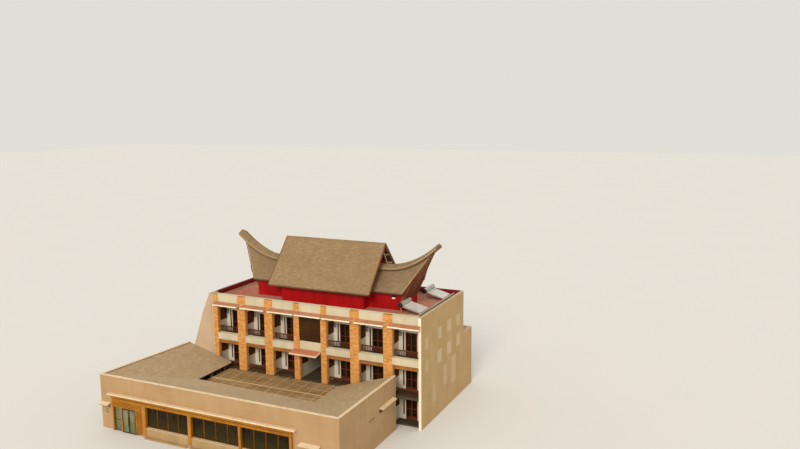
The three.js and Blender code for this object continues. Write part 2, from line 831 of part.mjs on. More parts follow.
const rightInnerX = frontRightX - frontWall;
const roofCorners = {
  frontLeft: [frontLeftX + frontWall, frontFaceY + frontWall, frontRoofEdgeZ],
  frontRight: [rightInnerX, frontFaceY + frontWall, frontRoofEdgeZ],
  rearLeft: [leftWingRearX + frontWall, 0, frontRoofEdgeZ],
  rearRight: [rightInnerX, wingRearY, frontRoofEdgeZ],
  courtFrontLeft: [courtLeftX, courtLeftFrontY, courtLeftEaveZ],
  courtFrontRight: [courtRightX, courtRightFrontY, courtRightEaveZ],
  courtRearLeft: [courtLeftX, 0, courtLeftEaveZ],
  courtRearRight: [courtRightX, wingRearY, courtRightEaveZ],
};

// A roof plane with four corners, given in order around it as seen from above.
function roofPlane(names) {
  const [a, b, c, d] = names.map((name) => roofCorners[name]);
  const lower = (point) => [point[0], point[1], point[2] - wingRoofThickness];
  return shell([[a, d], [b, c]], [[lower(a), lower(d)], [lower(b), lower(c)]]);
}

function wingRoofs() {
  place('left_wing_roof', roofPlane([
    'frontLeft', 'courtFrontLeft', 'courtRearLeft', 'rearLeft',
  ]), finish('wingShingle'));
  place('front_wing_roof', roofPlane([
    'frontLeft', 'frontRight', 'courtFrontRight', 'courtFrontLeft',
  ]), finish('wingShingle'));
  place('right_wing_roof', roofPlane([
    'frontRight', 'rearRight', 'courtRearRight', 'courtFrontRight',
  ]), finish('wingShingle'));
}

// Posts and ledgers around the court carry its flat roof and the inner eaves of the wings.
function courtFrame() {
  const half = postSize / 2;
  const underEaves = wingRoofThickness + fitGap;
  const ledgerTopZ = courtRoofTopZ - courtRoofThickness;
  const leftX = courtLeftX - half;
  const rightX = courtRightX + half;
  const post = (x, y, topZ) => box(x - half, x + half, y - half, y + half, 0, topZ);
  const frontY = Math.min(courtLeftFrontY, courtRightFrontY) + half;
  const parts = [
    box(leftX - half, leftX + half, frontY - half, wingRearY, ledgerBottomZ, ledgerTopZ),
    box(leftX - half, rightX + half, frontY - half, frontY + half, ledgerBottomZ, ledgerTopZ),
    box(
      courtLedgerX - half, rightX + half, frontY - half, wingRearY - frontWall,
      ledgerBottomZ, ledgerTopZ,
    ),
  ];
  for (const y of [frontY, (frontY + wingRearY) / 2, wingRearY - frontWall - half]) {
    parts.push(post(leftX, y, courtLeftEaveZ - underEaves));
    parts.push(post(rightX, y, ledgerTopZ));
  }
  for (const share of courtFrontPostShares) {
    parts.push(post(leftX + share * (rightX - leftX), frontY, ledgerTopZ));
  }
  place('court_frame', join(parts), finish('darkTimber'));
}

function courtRoof() {
  const bottomZ = courtRoofTopZ - courtRoofThickness;
  const frontY = Math.min(courtLeftFrontY, courtRightFrontY);
  const rearY = wingRearY + courtRoofOverrun;
  let roof = box(courtLeftX, courtLedgerX, frontY, rearY, bottomZ, courtRoofTopZ);
  for (let rib = 0; rib <= courtRibCount; rib += 1) {
    const x = courtLeftX + (courtLedgerX - courtLeftX - courtRib) * rib / courtRibCount;
    roof = roof.add(box(
      x, x + courtRib, frontY, rearY, courtRoofTopZ - lap, courtRoofTopZ + courtRibRise,
    ));
  }
  place('court_roof', roof, finish('slats'));
}

// Hinge barrels stand on the jambs' front corners, on the axes of the two door leaves.
function hingeBarrels() {
  const barrels = [];
  for (const x of [doorLeftX, doorRightX]) {
    for (const z of barrelZs) {
      const radius = doorGap - fitGap;
      const barrel = new THREE.CylinderGeometry(radius, radius, barrelHeight, barrelSides);
      barrel.rotateX(Math.PI / 2);
      barrel.translate(x, frameFrontY, z);
      barrels.push(solidOf(barrel));
    }
  }
  return barrels;
}

function shopfrontFrame() {
  const firstPost = postLefts[0];
  const topZ = fasciaBottomZ + lap;
  const parts = [
    box(shopLeftX, shopRightX, frameFrontY, frameRearY, fasciaBottomZ, fasciaTopZ),
    box(shopLeftX, firstPost + lap, frameFrontY, frameRearY, doorHeadZ, topZ),
  ];
  const post = (left, width) => box(left, left + width, frameFrontY, frameRearY, 0, topZ);
  parts.push(post(shopLeftX, jambWidth));
  parts.push(post(doorLeftX - jambWidth, jambWidth));
  parts.push(post(doorRightX, jambWidth));
  postLefts.forEach((left, i) => parts.push(post(left, postWidths[i])));
  parts.push(box(
    doorRightX + jambWidth - lap, firstPost + lap, frameRearY - 2 * mullion, frameRearY, 0, topZ,
  ));
  for (let bay = 0; bay + 1 < postLefts.length; bay += 1) {
    const from = postLefts[bay] + postWidths[bay];
    const to = postLefts[bay + 1];
    for (let pane = 1; pane < panesPerBay; pane += 1) {
      const x = from + (to - from) * pane / panesPerBay;
      parts.push(box(
        x - mullion / 2, x + mullion / 2, frameRearY - mullion, frameRearY, sillZ, topZ,
      ));
    }
  }
  place('shopfront_frame', join([...parts, ...hingeBarrels()]), finish('timber', 0.6));
}

function shopfront() {
  shopfrontFrame();
  const firstPost = postLefts[0];
  place('shopfront_glass', box(
    firstPost, shopRightX, frameRearY, frameRearY + paneThickness, sillZ, fasciaTopZ,
  ), finish('glass', 0.1));
  const sidelightY = frameRearY - mullion;
  place('sidelight_glass', box(
    shopLeftX + jambWidth, doorLeftX - jambWidth, sidelightY, sidelightY + paneThickness,
    0, doorHeadZ,
  ), finish('glass', 0.1));
  place('shopfront_ledge', box(
    ledgeLeftX, ledgeRightX, frameFrontY - ledgeReach, frontFaceY, fasciaTopZ,
    fasciaTopZ + ledgeThickness,
  ), finish('cream'));
}

// The sill wall under the shop windows carries a planting trough in each bay.
function shopfrontBase() {
  const wallRearY = frontFaceY + frontWall;
  const parts = [box(postLefts[0], shopRightX, frameRearY, wallRearY, 0, sillZ)];
  for (let bay = 0; bay + 1 < postLefts.length; bay += 1) {
    const from = postLefts[bay] + postWidths[bay];
    const to = postLefts[bay + 1];
    const trough = box(from, to, frameFrontY, frameRearY, 0, troughTopZ);
    const soil = box(
      from + troughWall, to - troughWall, frameFrontY + troughWall, frameRearY - troughWall,
      troughTopZ - planterSoilDepth, troughTopZ + cutOver,
    );
    parts.push(trough.subtract(soil));
    parts.push(box(from, to, plinthFrontY, frameFrontY, 0, plinthTopZ));
  }
  place('shopfront_base', join(parts), finish('cream'));
}

const leafWidth = (doorRightX - doorLeftX - 3 * doorGap) / 2;
const leafTopZ = doorHeadZ - leafBottomZ;

// A glazed leaf hangs on a vertical axis at its outer front edge and swings outwards.
function doorLeaf(side) {
  const name = side < 0 ? 'left' : 'right';
  const outer = side < 0 ? doorLeftX + doorGap : doorRightX - doorGap;
  const inner = outer - side * leafWidth;
  const x0 = Math.min(outer, inner);
  const x1 = Math.max(outer, inner);
  const rearY = frameFrontY + leafThickness;
  const pane = {
    left: x0 + leafStile, right: x1 - leafStile, bottom: leafBottomZ + leafStile, top: leafTopZ - leafStile,
  };
  const leaf = box(x0, x1, frameFrontY, rearY, leafBottomZ, leafTopZ).subtract(box(
    pane.left, pane.right, frameFrontY - cutOver, rearY + cutOver, pane.bottom, pane.top,
  ));
  const barX = inner + side * leafStile / 2;
  const half = handleBar / 2;
  const barY = frameFrontY - handleReach;
  const lowZ = (leafBottomZ + leafTopZ - handleHeight) / 2;
  const highZ = lowZ + handleHeight;
  const handle = join([
    box(barX - half, barX + half, barY, barY + handleBar, lowZ, highZ),
    box(barX - half, barX + half, barY, frameFrontY + lap, lowZ, lowZ + handleBar),
    box(barX - half, barX + half, barY, frameFrontY + lap, highZ - handleBar, highZ),
  ]);
  place(`${name}_door_leaf`, leaf.add(handle), finish('darkTimber', 0.4));
  const paneY = frameFrontY + (leafThickness - leafPane) / 2;
  place(`${name}_door_glass`, box(
    pane.left + fitGap, pane.right - fitGap, paneY, paneY + leafPane,
    pane.bottom + fitGap, pane.top - fitGap,
  ), finish('glass', 0.1));
}

outerWalls();
floors();
piers();
roomFronts();
thirdFloorEdge();
railings();
stairFront();
frontParapet();
terraceCurbs();
penthouseWalls();
mainRoof();
horns();
heaters();
annex();
frontWalls();
wingWalls();
wingRoofs();
courtFrame();
courtRoof();
shopfront();
shopfrontBase();
doorLeaf(-1);
doorLeaf(1);

// The finished group stands with the middle of its footprint at the origin.
building.position.set(-frontLeftX / 2, -(plinthFrontY + annexRearY) / 2, 0);
const house = new THREE.Group();
house.add(building);

export default house;
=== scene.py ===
# Guest house with a tongkonan roof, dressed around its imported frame.
# Building lengths are metres from the outer face of the right wall (x), the fronts of the
# stone piers (y) and the ground (z). place() turns them into the frame's own coordinates.
import math
from itertools import pairwise

import bmesh
import bpy
import numpy as np
from mathutils import Matrix


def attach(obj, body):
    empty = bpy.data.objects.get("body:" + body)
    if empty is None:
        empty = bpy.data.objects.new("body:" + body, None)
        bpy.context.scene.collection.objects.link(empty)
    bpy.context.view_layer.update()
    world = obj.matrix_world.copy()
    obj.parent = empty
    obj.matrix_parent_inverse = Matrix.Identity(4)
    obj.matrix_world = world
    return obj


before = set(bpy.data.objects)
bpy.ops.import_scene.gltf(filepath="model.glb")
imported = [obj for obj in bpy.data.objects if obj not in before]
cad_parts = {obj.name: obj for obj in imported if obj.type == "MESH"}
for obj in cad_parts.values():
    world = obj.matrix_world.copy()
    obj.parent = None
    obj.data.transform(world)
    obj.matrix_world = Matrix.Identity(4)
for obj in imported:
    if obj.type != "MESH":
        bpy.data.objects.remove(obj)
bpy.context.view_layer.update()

shiftX = 13.65
shiftY = -0.925

# Adds the frame's shift to points in building lengths.
def place(points):
    return np.asarray(points, float) + np.array([shiftX, shiftY, 0.0])

def addObject(name, data):
    obj = bpy.data.objects.new(name, data)
    bpy.context.collection.objects.link(obj)
    return obj

# Camera: the photograph's own lens, position and direction.
camera = {
    "focalPixels": 762.469865, "imageWidth": 800, "sensor": 36.0, "clipEnd": 2000.0,
    "pitch": 0.156838621, "roll": -0.00810955501, "yaw": 0.434844642,
    "position": (25.896, -60.0, 29.292),
}

# Forward is level forward tipped down by the pitch; right and up are rolled about it.
def addCamera(c):
    cosY, sinY = math.cos(c["yaw"]), math.sin(c["yaw"])
    cosP, sinP = math.cos(c["pitch"]), math.sin(c["pitch"])
    cosR, sinR = math.cos(c["roll"]), math.sin(c["roll"])
    level, right, up = np.array([[-sinY, cosY, 0.0], [cosY, sinY, 0.0], [0.0, 0.0, 1.0]])
    forward = cosP * level - sinP * up
    tipped = sinP * level + cosP * up
    turn = np.eye(4)
    turn[:3] = np.column_stack([
        cosR * right + sinR * tipped, cosR * tipped - sinR * right, -forward,
        place(c["position"]),
    ])
    data = bpy.data.cameras.new("photoCamera")
    data.sensor_width = c["sensor"]
    data.lens = c["sensor"] * c["focalPixels"] / c["imageWidth"]
    data.clip_end = c["clipEnd"]
    obj = addObject("photoCamera", data)
    obj.matrix_world = Matrix(turn.tolist())
    bpy.context.scene.camera = obj

# Light: a soft low key from the front and a pale sky.
light = {
    "keyTurn": (math.radians(60), 0.0, math.radians(10)), "keyStrength": 1.85,
    "keyAngle": math.radians(22), "keyColour": (1.0, 0.93, 0.82),
    "skyColour": (1.0, 0.97, 0.9), "skyStrength": 0.76,
}

def addLight(c):
    data = bpy.data.lights.new("keyLight", "SUN")
    data.energy = c["keyStrength"]
    data.angle = c["keyAngle"]
    data.color = c["keyColour"]
    addObject("keyLight", data).rotation_euler = c["keyTurn"]
    world = bpy.data.worlds.new("studioSky")
    bpy.context.scene.world = world
    world.use_nodes = True
    background = world.node_tree.nodes["Background"]
    background.inputs["Color"].default_value = (*c["skyColour"], 1.0)
    background.inputs["Strength"].default_value = c["skyStrength"]
    bpy.context.scene.view_settings.view_transform = "Standard"

# Colours are written as they look on screen and turned into the linear values shaders use.
def tint(code):
    parts = [int(code[i:i + 2], 16) / 255 for i in (0, 2, 4)]
    return tuple(c / 12.92 if c <= 0.04045 else ((c + 0.055) / 1.055) ** 2.4 for c in parts)

def tints(codes):
    return [tint(code) for code in codes.split()]

def feed(tree, socket, value):
    if isinstance(value, bpy.types.NodeSocket):
        tree.links.new(value, socket)
    elif isinstance(value, tuple) and len(value) == 3 and socket.type == "RGBA":
        socket.default_value = (*value, 1.0)
    else:
        socket.default_value = value

def addNode(tree, kind, inputs=None, **settings):
    made = tree.nodes.new(kind)
    for key, value in settings.items():
        setattr(made, key, value)
    for key, value in (inputs or {}).items():
        feed(tree, made.inputs[key], value)
    return made

def sums(tree, operation, first, second=0.0):
    return addNode(tree, "ShaderNodeMath", {0: first, 1: second}, operation=operation).outputs[0]

def spread(tree, value, low, high, outLow=0.0, outHigh=1.0):
    return addNode(tree, "ShaderNodeMapRange", {
        "Value": value, "From Min": low, "From Max": high, "To Min": outLow, "To Max": outHigh,
    }).outputs["Result"]

def mixColour(tree, factor, first, second):
    return addNode(tree, "ShaderNodeMix", {0: factor, 6: first, 7: second},
                   data_type="RGBA").outputs[2]

# Lays a second colour over a first one where a mask is, at a share of the mask's strength.
def overlay(tree, colour, mask, share, second):
    return mixColour(tree, sums(tree, "MULTIPLY", mask, share), colour, second)

def distance(tree, value, centre):
    return sums(tree, "ABSOLUTE", sums(tree, "SUBTRACT", value, centre))

def split(tree, vector):
    return addNode(tree, "ShaderNodeSeparateXYZ", {"Vector": vector}).outputs

def stretched(tree, vector, scale):
    return addNode(tree, "ShaderNodeMapping", {"Vector": vector, "Scale": scale}).outputs["Vector"]

def noise(tree, vector, scale, detail, roughness):
    return addNode(tree, "ShaderNodeTexNoise", {
        "Vector": vector, "Scale": scale, "Detail": detail, "Roughness": roughness,
    }).outputs["Fac"]

# Starts a node group. An input without a value is a vector, every other socket is a number.
def newGroup(name, inputs, outputs):
    tree = bpy.data.node_groups.new(name, "ShaderNodeTree")
    for label, value in inputs.items():
        kind = "NodeSocketVector" if value is None else "NodeSocketFloat"
        socket = tree.interface.new_socket(label, in_out="INPUT", socket_type=kind)
        if value is not None:
            socket.default_value = value
    for label in outputs:
        tree.interface.new_socket(label, in_out="OUTPUT", socket_type="NodeSocketFloat")
    return tree, tree.nodes.new("NodeGroupInput").outputs, tree.nodes.new("NodeGroupOutput").inputs

# Weathering: wide blotches, stains that run down, and fine grit.
def makeWeather():
    tree, given, made = newGroup("weather", {
        "Vector": None, "Blotch Scale": 0.5, "Streak Scale": 2.0, "Fine Scale": 9.0,
    }, ["Blotch", "Streak", "Fine"])
    vector = given["Vector"]
    for label, source, detail, roughness, low, high in (
        ("Blotch", vector, 5.0, 0.62, 0.36, 0.64),
        ("Streak", stretched(tree, vector, (1, 1, 0.09)), 4.0, 0.65, 0.47, 0.72),
        ("Fine", vector, 3.0, 0.7, 0.3, 0.7),
    ):
        wave = noise(tree, source, given[f"{label} Scale"], detail, roughness)
        feed(tree, made[label], spread(tree, wave, low, high))
    return tree

# Wood grain: darker veins and finer fibres, drawn out along the board by whoever uses it.
def makeGrain():
    tree, given, made = newGroup("grain", {"Vector": None, "Scale": 6.0}, ["Vein", "Fibre"])
    fineScale = sums(tree, "MULTIPLY", given["Scale"], 5.0)
    vein = noise(tree, given["Vector"], given["Scale"], 5.0, 0.6)
    fibre = noise(tree, given["Vector"], fineScale, 3.0, 0.7)
    feed(tree, made["Vein"], spread(tree, vein, 0.35, 0.65))
    feed(tree, made["Fibre"], spread(tree, fibre, 0.3, 0.7))
    return tree

# Even lines: 1 inside a line, 0 between, every pitch along one coordinate.
def makeLines():
    tree, given, made = newGroup("lines", {"Along": 0.0, "Pitch": 0.2, "Share": 0.1}, ["Line"])
    part = sums(tree, "FRACT", sums(tree, "DIVIDE", given["Along"], given["Pitch"]))
    feed(tree, made["Line"], sums(tree, "LESS_THAN", part, given["Share"]))
    return tree

# A soft-edged rectangle on a wall: how far a point lies inside it, over the edge's width.
def makePatch():
    edge = 0.08
    tree, given, made = newGroup("patch", {
        "Across": 0.0, "Up": 0.0, "Middle": 0.0, "Height": 0.0,
        "Half Width": 0.5, "Half Height": 0.5,
    }, ["Inside"])
    parts = []
    for value, centre, half in (
        ("Across", "Middle", "Half Width"), ("Up", "Height", "Half Height"),
    ):
        away = distance(tree, given[value], given[centre])
        parts.append(spread(tree, sums(tree, "SUBTRACT", given[half], away), 0.0, edge))
    feed(tree, made["Inside"], sums(tree, "MULTIPLY", *parts))
    return tree

# The dark reflection that runs along a tank's side: 1 at its height, 0 half a width away.
def makeGlint():
    tree, given, made = newGroup("glint", {"Up": 0.0, "Height": 10.7, "Half": 0.05}, ["Dark"])
    away = distance(tree, given["Up"], given["Height"])
    feed(tree, made["Dark"], spread(tree, away, given["Half"], 0.0))
    return tree

groups = {
    "weather": makeWeather(), "grain": makeGrain(), "lines": makeLines(), "patch": makePatch(),
    "glint": makeGlint(),
}

def useGroup(tree, name, inputs):
    return addNode(tree, "ShaderNodeGroup", inputs, node_tree=groups[name]).outputs

def weathered(tree, vector, blotch, streak=2.0, fine=9.0):
    return useGroup(tree, "weather", {
        "Vector": vector, "Blotch Scale": blotch, "Streak Scale": streak, "Fine Scale": fine,
    })

def startMaterial(name):
    mat = bpy.data.materials.new(name)
    mat.use_nodes = True
    tree = mat.node_tree
    vector = addNode(tree, "ShaderNodeTexCoord").outputs["Object"]
    return mat, tree, tree.nodes["Principled BSDF"].inputs, vector

# Ends a material: one mask carries the roughness between two values, and the bump if any.
def endMaterial(tree, shader, colour, mask, rough, bump, constants):
    feed(tree, shader["Base Color"], colour)
    feed(tree, shader["Roughness"], spread(tree, mask, 0, 1, *rough))
    if bump:
        strength, depth = bump
        made = addNode(tree, "ShaderNodeBump", {
            "Height": mask, "Strength": strength, "Distance": depth,
        })
        feed(tree, shader["Normal"], made.outputs["Normal"])
    for label, value in constants.items():
        shader[label].default_value = value

# Painted or bare masonry: blotches towards a paler tone, running stains and a gritty bump.
# Colours are base, other, stain and grit. A board is the pitch of upright joints. Patches are
# rows of middle (y), height, half width, half height and strength on a wall that faces x.
def masonry(name, colours, streak=1.6, fine=11.0, stainShare=0.4, roughness=0.86, bump=0.35,
            board=None, patch=None, patches=()):
    mat, tree, shader, vector = startMaterial(name)
    base, other, stain, grit = tints(colours)
    wear = weathered(tree, vector, 0.45, streak, fine)
    colour = mixColour(tree, wear["Blotch"], base, other)
    colour = overlay(tree, colour, wear["Streak"], stainShare, stain)
    if board:
        parts = split(tree, vector)
        across = sums(tree, "ADD", parts["X"], parts["Y"])
        line = useGroup(tree, "lines", {"Along": across, "Pitch": board, "Share": 0.07})["Line"]
        colour = overlay(tree, colour, line, 0.35, stain)
    if patch:
        parts = split(tree, vector)
        for middle, height, halfWidth, halfHeight, share in patches:
            inside = useGroup(tree, "patch", {
                "Across": parts["Y"], "Up": parts["Z"], "Middle": middle + shiftY,
                "Height": height, "Half Width": halfWidth, "Half Height": halfHeight,
            })["Inside"]
            colour = overlay(tree, colour, inside, share, tint(patch))
    colour = overlay(tree, colour, wear["Fine"], 0.22, grit)
    endMaterial(tree, shader, colour, wear["Fine"], (roughness - 0.1, roughness + 0.08),
                (bump, 0.008), {"Specular IOR Level": 0.2})
    return mat

# Laid pieces such as stones and shingles: each one has its own tone, then grain and dirt.
# Colours are other, stain and grit.
def laid(name, tones, colours, blotchShare, stainShare, blotch=0.4, fine=25.0):
    mat, tree, shader, vector = startMaterial(name)
    other, stain, grit = tints(colours)
    tone = addNode(tree, "ShaderNodeAttribute", attribute_name="tone").outputs["Fac"]
    ramp = addNode(tree, "ShaderNodeValToRGB", {"Fac": tone})
    first, *between, last = tints(tones)
    stops = ramp.color_ramp.elements
    stops[0].color = (*first, 1)
    stops[1].color = (*last, 1)
    for i, colour in enumerate(between, 1):
        stops.new(i / (len(between) + 1)).color = (*colour, 1)
    wear = weathered(tree, vector, blotch, 1.2, fine)
    colour = overlay(tree, ramp.outputs["Color"], wear["Blotch"], blotchShare, other)
    colour = overlay(tree, colour, wear["Streak"], stainShare, stain)
    colour = overlay(tree, colour, wear["Fine"], 0.25, grit)
    endMaterial(tree, shader, colour, wear["Fine"], (0.78, 0.95), (0.5, 0.006),
                {"Specular IOR Level": 0.2})
    return mat

# Timber: the grain runs along one axis, with a sheen of old varnish. Colours are base, vein
# and worn.
def timber(name, axis, colours, roughness=0.55):
    mat, tree, shader, vector = startMaterial(name)
    base, dark, worn = tints(colours)
    drawn = {"x": (0.08, 1, 1), "y": (1, 0.08, 1), "z": (1, 1, 0.08)}[axis]
    wood = useGroup(tree, "grain", {"Vector": stretched(tree, vector, drawn), "Scale": 7.0})
    colour = mixColour(tree, wood["Vein"], base, dark)
    colour = overlay(tree, colour, weathered(tree, vector, 0.7)["Blotch"], 0.45, worn)
    colour = overlay(tree, colour, wood["Fibre"], 0.25, dark)
    endMaterial(tree, shader, colour, wood["Fibre"], (roughness, roughness + 0.2), (0.3, 0.004),
                {"Specular IOR Level": 0.25})
    return mat

# Metal and enamel with faint smudges. Colours are base, other and stain. Glints are rows of
# height, half width and strength of a dark reflection.
def smoothCoat(name, colours, roughness, metallic=0.0, dark=None, glints=()):
    mat, tree, shader, vector = startMaterial(name)
    base, other, stain = tints(colours)
    wear = weathered(tree, vector, 1.5, fine=30.0)
    colour = mixColour(tree, wear["Blotch"], base, other)
    colour = overlay(tree, colour, wear["Streak"], 0.3, stain)
    if dark:
        up = split(tree, vector)["Z"]
        for height, half, share in glints:
            glint = useGroup(tree, "glint", {"Up": up, "Height": height, "Half": half})["Dark"]
            colour = overlay(tree, colour, glint, share, tint(dark))
    endMaterial(tree, shader, colour, wear["Fine"], (roughness, roughness + 0.15),
                (0.08, 0.002), {"Metallic": metallic})
    return mat

# Window glass with a film of dust that dulls it in patches. Colours are base, other and dust.
# Low is a tone near the foot: its colour, the heights where it fades out and is full, and its
# strength.
def pane(name, colours, reflect=0.3, low=None):
    mat, tree, shader, vector = startMaterial(name)
    base, other, dust = tints(colours)
    wear = weathered(tree, vector, 0.8, 3.0)
    colour = mixColour(tree, wear["Blotch"], base, other)
    colour = overlay(tree, colour, wear["Streak"], 0.2, dust)
    if low:
        code, top, foot, share = low
        fade = sums(tree, "MULTIPLY", spread(tree, split(tree, vector)["Z"], top, foot), share)
        streaked = spread(tree, wear["Streak"], 0, 1, 1.0, 0.4)
        colour = overlay(tree, colour, fade, streaked, tint(code))
    endMaterial(tree, shader, colour, wear["Blotch"], (0.04, 0.16), None,
                {"IOR": 1.45, "Specular IOR Level": reflect})
    return mat

materials = {
    "cream": masonry("weatheredCream", "d9cdb0 cabfa2 a19e7c bbaf90", stainShare=0.28),
    "fin": masonry("pinkishCream", "cdb498 c2a98d a28e6b b0987a", stainShare=0.25),
    "room": masonry("roomCream", "ebe2d3 dcd2c3 a89d8a c2b7a4", stainShare=0.18),
    "tan": masonry("tanPlaster", "b99870 b18e66 9a7850 a48158", stainShare=0.25),
    "side": masonry(
        "sideWallPlaster", "b89866 bfa176 ccb187 a98a58", streak=0.8, stainShare=0.5,
        patch="d8c3a4", patches=[
            (1.27, 7.9, 0.36, 0.6, 0.5), (4.48, 7.98, 0.5, 0.6, 0.6),
            (6.9, 8.05, 0.56, 0.6, 0.6), (9.4, 7.95, 0.56, 0.6, 0.6),
            (1.31, 5.75, 0.38, 0.6, 0.45), (4.42, 5.73, 0.56, 0.66, 0.7),
            (6.92, 5.8, 0.56, 0.62, 0.7), (9.42, 5.92, 0.56, 0.68, 0.6),
            (8.13, 3.3, 0.62, 1.4, 0.5), (5.9, 3.4, 0.46, 1.05, 0.45),
            (3.1, 2.6, 0.4, 0.9, 0.3),
        ]),
    "crimson": masonry("crimsonPaint", "b8070c a1060a 710406 8e0507", roughness=0.6, bump=0.2,
                       board=0.3),
    # Floors of the balconies and the stair passage: cement darkened to stand in for the shade
    # inside them, painted shade.
    "shadeDarkenedFloor": masonry("shadeDarkenedCementFloor", "54493a 483e2e 332a1e 3f3628", stainShare=0.35),
    "cement": masonry("cementFloor", "a09888 8f8776 6d6656 857c6b", stainShare=0.35),
    "mortar": masonry("mortar", "b8803c a8722f 8d5f28 9d6a2e"),
    "roofFelt": masonry("roofFelt", "6d5a44 60503d 4b3e2f 57493a"),
    "awning": masonry("awningPaint", "b9805e aa7252 84583e 996a4c"),
    "lip": masonry("awningLip", "fff1dc f8e6cc d8bc98 ecd6b6", stainShare=0.2),
    "soil": masonry("soil", "4a3622 5b4630 35271a 2c2016", fine=20.0, bump=1.0),
    "redCoping": masonry("redCoping", "88100f 760d0c 520808 660b0a", roughness=0.6),
    "plinth": masonry("palePlinth", "b79a72 ac8f66 8d734c 9b7f56"),
    "stone": laid("stackedStone", "d2914a e4a85e eebb7a dd9f58 ca8842 ebb470 da9952",
                  "d6944e b07a34 c98a40", 0.4, 0.22, blotch=0.9, fine=30.0),
    "shingle": laid("shingles", "91765a 9f8562 967b58 a68c68 9a8060", "94785a 836745 836947",
                    0.4, 0.3),
    "hornShingle": laid("hornShingles", "8a7355 988161 8f7759 9e8767", "8a7356 755f42 7a6143",
                        0.4, 0.3),
    "wingShingle": laid("wingShingles", "b09877 bba483 ab9271 bfa989", "b49c7b 987e5a 977d5a",
                        0.4, 0.3),
    # The front wing's shingles are a lighter copy of the side wings' shingles: painted light on the
    # facet that faces the front.
    "litFrontShingle": laid("frontWingShinglesPaintedLight", "bda484 c8b190 b89e7c ccb695",
                         "c1a988 a48b66 a38a67", 0.4, 0.3),
    "cap": laid("ridgeCap", "92795a 9a8262 887051", "8c7455 776144 7d6649", 0.3, 0.2),
    "redBoard": laid("redBrownBoards", "7c3a22 a8623e 8c4a2e b87850 955236",
                     "8a4a30 54281a 7a4028", 0.3, 0.4),
    "courtSlat": laid("courtSlats", "67492a a98a60 86653c bfa27a 75552f 9a7a4e",
                      "a8875a 6c5030 8a6a40", 0.3, 0.35, fine=18.0),
    "terracotta": laid("terracottaTiles", "d08464 c87a5a d9906e", "c88668 8a4030 a9553c",
                       0.4, 0.25),
    "floorTile": laid("redFloorTiles", "b97058 c47e66 ad654e be7860", "cb9880 9c5a46 a8674f",
                      0.6, 0.3, blotch=0.3),
    "orangeX": timber("orangeTimberAcross", "x", "b1720e 824c05 c48a22", 0.6),
    "orangeZ": timber("orangeTimberUpright", "z", "c07c2c 935818 d09a48", 0.6),
    "brownX": timber("brownTimberAcross", "x", "744118 4a260b 905a26"),
    "beamWood": timber("beamTimber", "x", "b06e30 7c481c c08844"),
    "screenWood": timber("screenTimber", "x", "4a2c0c 2c1804 583a12", 0.8),
    "louvreWood": timber("louvreTimber", "y", "6e3f1e 44240e 80502a", 0.75),
    "brownZ": timber("brownTimberUpright", "z", "5a3016 371b0b 76451f"),
    "brownY": timber("brownTimberInward", "y", "6a4526 3f2410 80592f"),
    "verge": timber("vergeBoards", "z", "7d3f24 4e2013 925430"),
    "paleBatten": timber("paleBattens", "y", "d6bb8e b79a6c e2cda6", 0.65),
    "doorWood": timber("doorFrames", "z", "6b2c1c 461a10 82402a"),
    "edge": smoothCoat("roofEdge", "c3a680 b69871 957a58", 0.6),
    "flashing": smoothCoat("paleFlashing", "e9d2b2 dec5a0 b39a72", 0.5),
    "doorMetal": smoothCoat("doorMetal", "4a2e1a 3a2414 24160c", 0.35, 0.3),
    "tank": smoothCoat("tankMetal", "d9d2c4 c4bcae 8a8478", 0.3, 0.55, dark="2a2420",
                       glints=[(10.72, 0.07, 0.85), (10.93, 0.035, 0.6)]),
    "blackCap": smoothCoat("blackCap", "0e0d0d 161414 070707", 0.6),
    "ventGrey": smoothCoat("ventGrey", "8d8f90 7b7d7e 56585a", 0.5),
    "glass": pane("darkGlass", "160f05 2c200c 5a4824"),
    "shopGlass": pane("shopGlass", "120902 2c210a 57451c", 0.12, low=("4a4220", 2.3, 0.9, 0.5)),
    "doorGlass": pane("doorGlass", "55573a 7c7b5c b5ae90", low=("5c6e50", 1.4, 0.2, 0.7)),
    "collector": pane("collectorGlass", "c9c6c2 dcd8d2 9c98a0"),
}
print("materials made")

nodeFinish = {
    "cream": ["third_floor_edge", "front_parapet", "terrace_curbs"],
    "fin": ["left_wall"],
    "room": ["ground_room_wall", "second_room_wall", "third_room_wall"],
    "side": ["right_wall", "rear_wall", "annex"],
    "tan": ["front_wall_left", "front_wall_right", "front_wall_upper", "left_wing_wall",
            "right_wing_wall"],
    "mortar": [f"pier_{i}" for i in range(1, 8)],
    # These floors take the cement darkened with painted shade.
    "shadeDarkenedFloor": ["ground_floor", "second_floor", "third_floor"],
    "cement": ["terrace"],
    "roofFelt": ["main_roof", "left_horn_roof", "right_horn_roof", "left_wing_roof",
                 "front_wing_roof", "right_wing_roof"],
    "cap": ["left_ridge_cap", "right_ridge_cap"],
    "crimson": ["penthouse_walls"],
    "screenWood": ["stair_screen"],
    "brownZ": ["third_floor_railing", "second_railing_left", "second_railing_right"],
    "redBoard": ["left_horn_gable", "right_horn_gable"],
    "brownY": ["court_frame"],
    "courtSlat": ["court_roof"],
    "orangeX": ["shopfront_frame"],
    "flashing": ["stair_canopy", "shopfront_ledge"],
    "glass": ["rear_glass", "ground_glass", "second_glass", "second_right_glass", "third_glass"],
    "shopGlass": ["shopfront_glass"],
    "doorGlass": ["sidelight_glass", "left_door_glass", "right_door_glass"],
    "doorMetal": ["left_door_leaf", "right_door_leaf"],
    "tank": ["front_solar_heater", "rear_solar_heater"],
    "plinth": ["shopfront_base"],
}

def finishNodes():
    for finish, names in nodeFinish.items():
        for name in names:
            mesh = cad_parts[name].data
            mesh.materials.clear()
            mesh.materials.append(materials[finish])

random = np.random.default_rng(20)

